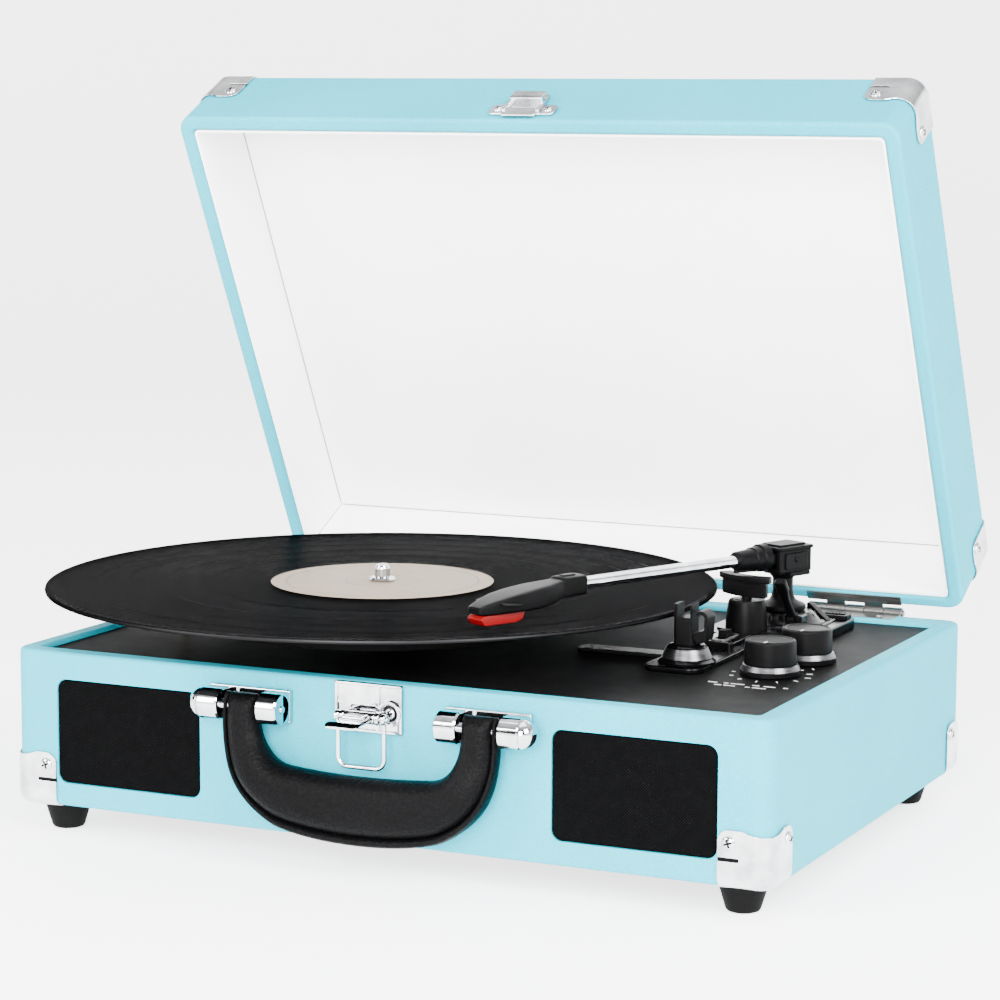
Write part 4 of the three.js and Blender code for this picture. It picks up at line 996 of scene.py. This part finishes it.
def make_arm_yoke():
    column = [(0, 70), (5.6, 70), (5.6, 87.3), (10.2, 87.3), (10.5, 87.7), (10.5, 89.2), (9.6, 89.9),
              (6.2, 91.4), (5.2, 93), (4.6, 96), (4.6, 101.4), (6.4, 103.4), (6.4, 104.4), (0, 104.4)]
    piece("arm_column", turned(column, 48, Matrix.Translation((*ARM_PIVOT, 0))), "tonearm_yoke",
          SATIN_BLACK, instead_of="tonearm_column")
    shell = block((-10.5, -7.7, -7.2), (10, 7.7, 3.6), 0.9)
    shell = cut(shell, block((-8, -5.3, -5.3), (12, 5.3, 6), 0))
    parts = [shell, slab((-11.2, -8.6, 3.2), (11, 8.6, 4.7), 1.4, 0.5),
             slab((-8.6, -6, 4.5), (8.4, 6, 5.6), 1.2, 0.5),
             slab((-12.6, -5.4, -6), (-10.2, 5.4, 3), 1.0, 0.6),
             block((-9, -8.4, -8.8), (4, 8.4, -6.6), 0.6)]
    for s in (-1, 1):
        parts.append(slab((-7, -5.6, 7.4), (7, 1.8, 8.6), 1.0, 0.4))
        moved(parts[-1], Matrix.Rotation(math.radians(90), 4, "X"),
              Matrix.Rotation(math.radians(90 + 90 * s), 4, "Z"))
        parts.append(rod((0, s * 8.2, -1), (0, s * 9.2, -1), 1.5, soft=0.3))
    piece("arm_hood", joined(*parts), "tonearm_yoke", SATIN_BLACK, ARM, "tonearm_hood")


def squared_ring(x, top, bottom, half, power, points=32):
    """A ring of points at x, between an oval and a rectangle: the higher the power, the squarer."""
    middle, tall = (top + bottom) / 2, (top - bottom) / 2

    def swell(part, reach):
        return reach * math.copysign(abs(part) ** (2 / power), part)

    ring = []
    for k in range(points):
        a = math.tau * k / points
        ring.append(Vector((x, swell(math.cos(a), half), middle + swell(math.sin(a), tall))))
    return ring


def make_arm():
    neck = [(0, 12), (5.7, 12), (6.2, 12.5), (6.1, 16.4), (5.4, 16.9), (5.3, 21), (4.8, 21.4), (4.3, 30.4),
            (3.9, 31.2), (2.75, 31.4), (0, 31.4)]
    parts = [block((-6, -4.6, -3), (12.4, 4.6, 1.8), 0.4),
             turned(neck, 48, Matrix.Rotation(math.radians(90), 4, "Y")),
             rod((18, 1.2, -4.9), (33, 1.2, -4.2), 0.75, steps=16)]
    piece("arm_collar", joined(*parts), "tonearm", SATIN_BLACK, ARM, "tonearm_collar")
    piece("arm_tube", rod((22.2, 0, 0), (130, 0, 0), 2.7, steps=48), "tonearm", CHROME, ARM,
          "tonearm_tube")
    stations = [(125, 4.0, -4.2, 4.5), (125.5, 4.3, -4.4, 4.8), (137.2, 4.3, -4.5, 4.9),
                (138, 3.9, -4.4, 4.7), (138.4, 3.3, -4.3, 4.6),
                (141, 3.1, -4.9, 5.2), (146, 2.7, -6.3, 6.8), (153, 2.2, -7.0, 7.9), (162, 1.3, -7.1, 8.2),
                (170, 0.1, -7.1, 7.9),
                (177, -1.3, -7.1, 6.2), (182, -2.7, -7.0, 4.8), (184.2, -3.6, -6.7, 4.1),
                (184.8, -4.4, -6.3, 3.3)]
    shell = loft([squared_ring(*s, 6.0) for s in stations])
    ridge = block((129, -1.6, 4.0), (136, 1.6, 4.9), 0.4)
    lift_stations = ((166, -2.4, -4.0, 9.4), (171, -2.2, -3.6, 10.8), (176, -2.0, -3.2, 9.6))
    lift = loft([squared_ring(*s, 2.6, 20) for s in lift_stations])
    piece("head_shell", joined(shell, ridge, lift), "tonearm", SATIN_BLACK, ARM,
          "headshell", crease=24)
    side = [(182.8, -7.1), (184.6, -8.6), (182.4, -11.3), (164.5, -11.4), (161.5, -10.2), (160, -7.1)]
    body = moved(outline_plate(side, -4.6, 4.6, 0.5), UPRIGHT)
    cantilever = rod((171, 0, -11.2), (178.2, 0, -11.9), 0.35, soft=0.1, steps=12)
    tip = rod((178, 0, -10.9), (178, 0, -12.1), 0.5, 0.2, 12, 0.05)
    piece("stylus_carrier", joined(body, cantilever, tip), "tonearm", STYLUS_RED, ARM,
          "stylus_holder")


def make_arm_lift():
    start, end = ARM_AZIMUTH - 0.5, ARM_AZIMUTH + 0.55
    sweep = arc(ARM_PIVOT, 30, start, end, 22) + arc(ARM_PIVOT, 24, end, start, 22)
    thin = arc(ARM_PIVOT, 29.2, start + 0.06, end - 0.06, 18) + arc(ARM_PIVOT, 24.8, end - 0.06, start
                                                                    + 0.06, 18)
    parts = [outline_plate(sweep, 102.6, 105.4, 0.5), outline_plate(thin, 96, 103, 0.5),
             rod((*STEM, 66), (*STEM, 104), 2.2)]
    piece("lift_bar", joined(*parts), "cue_lift_bar", SATIN_BLACK,
          instead_of="cue_lift_bar")
    blade = [squared_ring(z, 1.6 * w, -1.6 * w, 1.5 * t, 4, 24) for z, w, t in
             ((0, 1.5, 1.05), (3, 1.2, 1.0), (14, 1.0, 0.9), (18, 1.3, 1.0), (20, 1.65, 1.2),
              (25.6, 1.65, 1.2), (26.5, 1.3, 1.0))]
    lever = moved(loft(blade), Matrix.Rotation(math.radians(-90), 4, "Y"))
    lever = joined(lever, rod((-1.8, 0, 0), (1.8, 0, 0), 3.2))
    moved(lever, Matrix.Rotation(math.radians(42), 4, "X"), Matrix.Translation(LEVER_PIVOT))
    piece("lift_lever", lever, "cue_lever", SATIN_BLACK, instead_of="cue_lever")


# ---------------------------------------------------------------- controls and markings

def make_knobs():
    z = DECK_Z
    for name, label, place in (("volume_knob", "volume", VOLUME_KNOB), ("mode_knob", "mode", MODE_KNOB)):
        at = Matrix.Translation((*place, 0))
        base = [(0, z - 8.4), (3, z - 8.4), (3, z + 0.5), (12.5, z + 0.5), (12.8, z + 0.8), (12.8, z + 2.3),
                (12.4, z + 2.6), (10.6, z + 2.6), (10.6, z + 5.2), (0, z + 5.2)]
        cap = [(0, z + 4.8), (10.7, z + 4.8), (11.1, z + 5.2), (10.9, z + 14.2), (10.5, z + 14.9),
               (9.7, z + 15.3), (9.2, z + 15.2), (8.7, z + 14.9), (0, z + 14.8)]
        body = joined(turned(base, 72, at), turned(cap, 72, at))
        piece(f"{label}_control", body, name, SATIN_BLACK, instead_of=name, crease=30)
        skirt = [(10.4, z + 2.5), (12.5, z + 2.5), (12.6, z + 2.8), (11.6, z + 4.8), (11.2, z + 5.0),
                 (10.4, z + 5.0), (10.4, z + 2.5)]
        piece(f"{label}_control_skirt", turned(skirt, 72, at), name, SPUN_ALUMINIUM, crease=30)
        mark = block((place[0] - 0.45, place[1] - 9.0, z + 14.7),
                     (place[0] + 0.45, place[1] - 4.4, z + 15.0), 0.1, 1)
        piece(f"{label}_control_mark", mark, name, WHITE_PRINT)


def ridged_slider(low, high, count, axis):
    low, high = Vector(low), Vector(high)
    parts = [block(low, (high.x, high.y, high.z - 1.0), 0.4)]
    for k in range(count):
        a, b = low.copy(), high.copy()
        step = (high[axis] - low[axis]) / count
        a[axis] = low[axis] + (k + 0.18) * step
        b[axis] = low[axis] + (k + 0.82) * step
        a.z = high.z - 1.6
        parts.append(block(a, b, 0.25, 2))
    return joined(*parts)


def make_switches():
    z = DECK_Z + 1.3
    speed = ridged_slider((98.8, 12, z), (103.2, 18, z + 8.2), 4, 1)
    piece("speed_slider", speed, "speed_selector", SATIN_BLACK,
          instead_of="speed_selector")
    stop = ridged_slider((123.6, 86.2, z), (128.4, 89.8, z + 6.4), 3, 0)
    piece("stop_slider", stop, "auto_stop_switch", SATIN_BLACK,
          instead_of="auto_stop_switch")


def make_deck_marks():
    z0, z1 = DECK_Z + 0.02, DECK_Z + 0.14
    marks = []

    def tick(x, y, angle, length, width=0.5):
        dash = block((-length / 2, -width / 2, z0), (length / 2, width / 2, z1), 0)
        marks.append(moved(dash, Matrix.Rotation(angle, 4, "Z"), Matrix.Translation((x, y, 0))))

    for k in range(11):
        a = math.radians(-90 + (k - 5) * 30)
        reach = 16.2 + 0.06 * k
        tick(*on_circle(VOLUME_KNOB, reach, a), a, 1.2 + 0.16 * k)
    for turn in (-30, 0, 30):
        a = math.radians(-90 + turn)
        tick(*on_circle(MODE_KNOB, 16, a), a, 2.4, 0.7)
    for x, length in ((122, 4), (128, 2), (133, 6), (141, 3), (147, 5), (154, 2)):
        tick(x, -53, 0, length, 0.7)
    for x, length in ((126, 3), (131, 5), (139, 2), (144, 6)):
        tick(x, -57.5, 0, length, 0.7)
    for y in (8, 15, 22):
        tick(91, y, 0, 2.2)
    for x in (122, 126, 130):
        tick(x, 100.5, math.radians(90), 1.8)
    piece("deck_print", joined(*marks), "base", WHITE_PRINT)


# ---------------------------------------------------------------- back and underside

def make_back_panel():
    x, z = 95, 40
    round_sockets = ((20, 3.3, 4.6), (6, 1.9, 3.4))

    def with_holes(body):
        return cut(body, *(rod((x + dx, 112, z), (x + dx, 130, z), inner, soft=0.01)
                           for dx, inner, _ in round_sockets))

    plate = slab((x - 30.7, z - 11.7, -124.4), (x + 30.7, z + 11.7, -118.4), 1.2, 0.5)
    plate = with_holes(moved(plate, UPRIGHT))
    ledge = with_holes(block((x - 27, 108.4, z - 8), (x + 27, 119.6, z + 8), 0.5))
    collars = []
    for dx, inner, outer in round_sockets:
        collar = [(inner, -0.5), (outer, -0.5), (outer, 0.5), (outer - 0.4, 0.9), (inner, 0.9),
                  (inner, -0.5)]
        collars.append(turned(collar, 40, Matrix.Translation((x + dx, 124.4, z)) @ facing((0, 1, 0))))
    pin = rod((x + 20, 114.6, z), (x + 20, 121.5, z), 0.9)
    piece("socket_panel", joined(plate, ledge, *collars, pin), "base", SATIN_BLACK,
          instead_of="rear_socket_panel")
    for label, dx, finish in (("left", -8, WHITE_PRINT), ("right", -21, RED_PLASTIC)):
        at = Matrix.Translation((x + dx, 123.4, z)) @ facing((0, 1, 0))
        sleeve = turned([(2.2, 0), (4.1, 0), (4.1, 5.6), (3.8, 6), (2.5, 6), (2.2, 5.7), (2.2, 0)], 40, at)
        piece(f"line_socket_ring_{label}",
              turned([(4.1, 0.6), (5.4, 0.6), (5.4, 1.8), (5, 2.1), (4.1, 2.1), (4.1, 0.6)], 40, at),
              "base", finish)
        piece(f"line_socket_{label}", sleeve, "base", NICKEL)
    screws("socket_panel_screws", [((x + dx, 124.3, z), (0, 1, 0)) for dx in (-28, 28)], 1.8, "base")


def make_underside():
    spots = [(x, y) for x in (-130, 0, 130) for y in (-100, 90)]
    screws("bottom_screws", [((x, y, 10.1), (0, 0, -1)) for x, y in spots], 2.6, "base", finish=STEEL)
    vents = [slab((x, -14, 9.7), (x + 3, 14, 10.2), 1.4, 0) for x in range(-24, 25, 8)]
    piece("bottom_vents", joined(*vents), "base", RUBBER)


# ---------------------------------------------------------------- nodes kept as they are, and the floor

def dress_kept_nodes():
    kept = {"deck_plate": DECK_VINYL, "bottom_panel": SATIN_BLACK, "speaker_driver_left": STEEL,
            "speaker_driver_right": STEEL,
            "circuit_board": CIRCUIT, "spindle_bearing": BRASS, "drive_belt": RUBBER, "motor": STEEL,
            "motor_pulley": BRASS}
    for name, finish in kept.items():
        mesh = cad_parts[name].data
        mesh.materials.clear()
        mesh.materials.append(finish)


def make_floor():
    """A round floor that curls up into a low wall, so that no horizon shows."""
    curl = [(2.0 + 1.5 * math.sin(a), 1.5 - 1.5 * math.cos(a))
            for a in (math.radians(3 * i) for i in range(19))]
    put_in_scene("floor", smooth_mesh("floor", turned([(0, 0)] + curl, 128), pale_floor()))


set_camera()
light_studio()
make_floor()
make_case()
make_feet()
make_corner_caps()
make_lid()
make_catch()
make_hinges()
make_handle()
make_handle_brackets()
make_latch()
make_platter()
make_disc()
make_arm_base()
make_arm_rest()
make_arm_yoke()
make_arm()
make_arm_lift()
make_knobs()
make_switches()
make_deck_marks()
make_back_panel()
make_underside()
dress_kept_nodes()
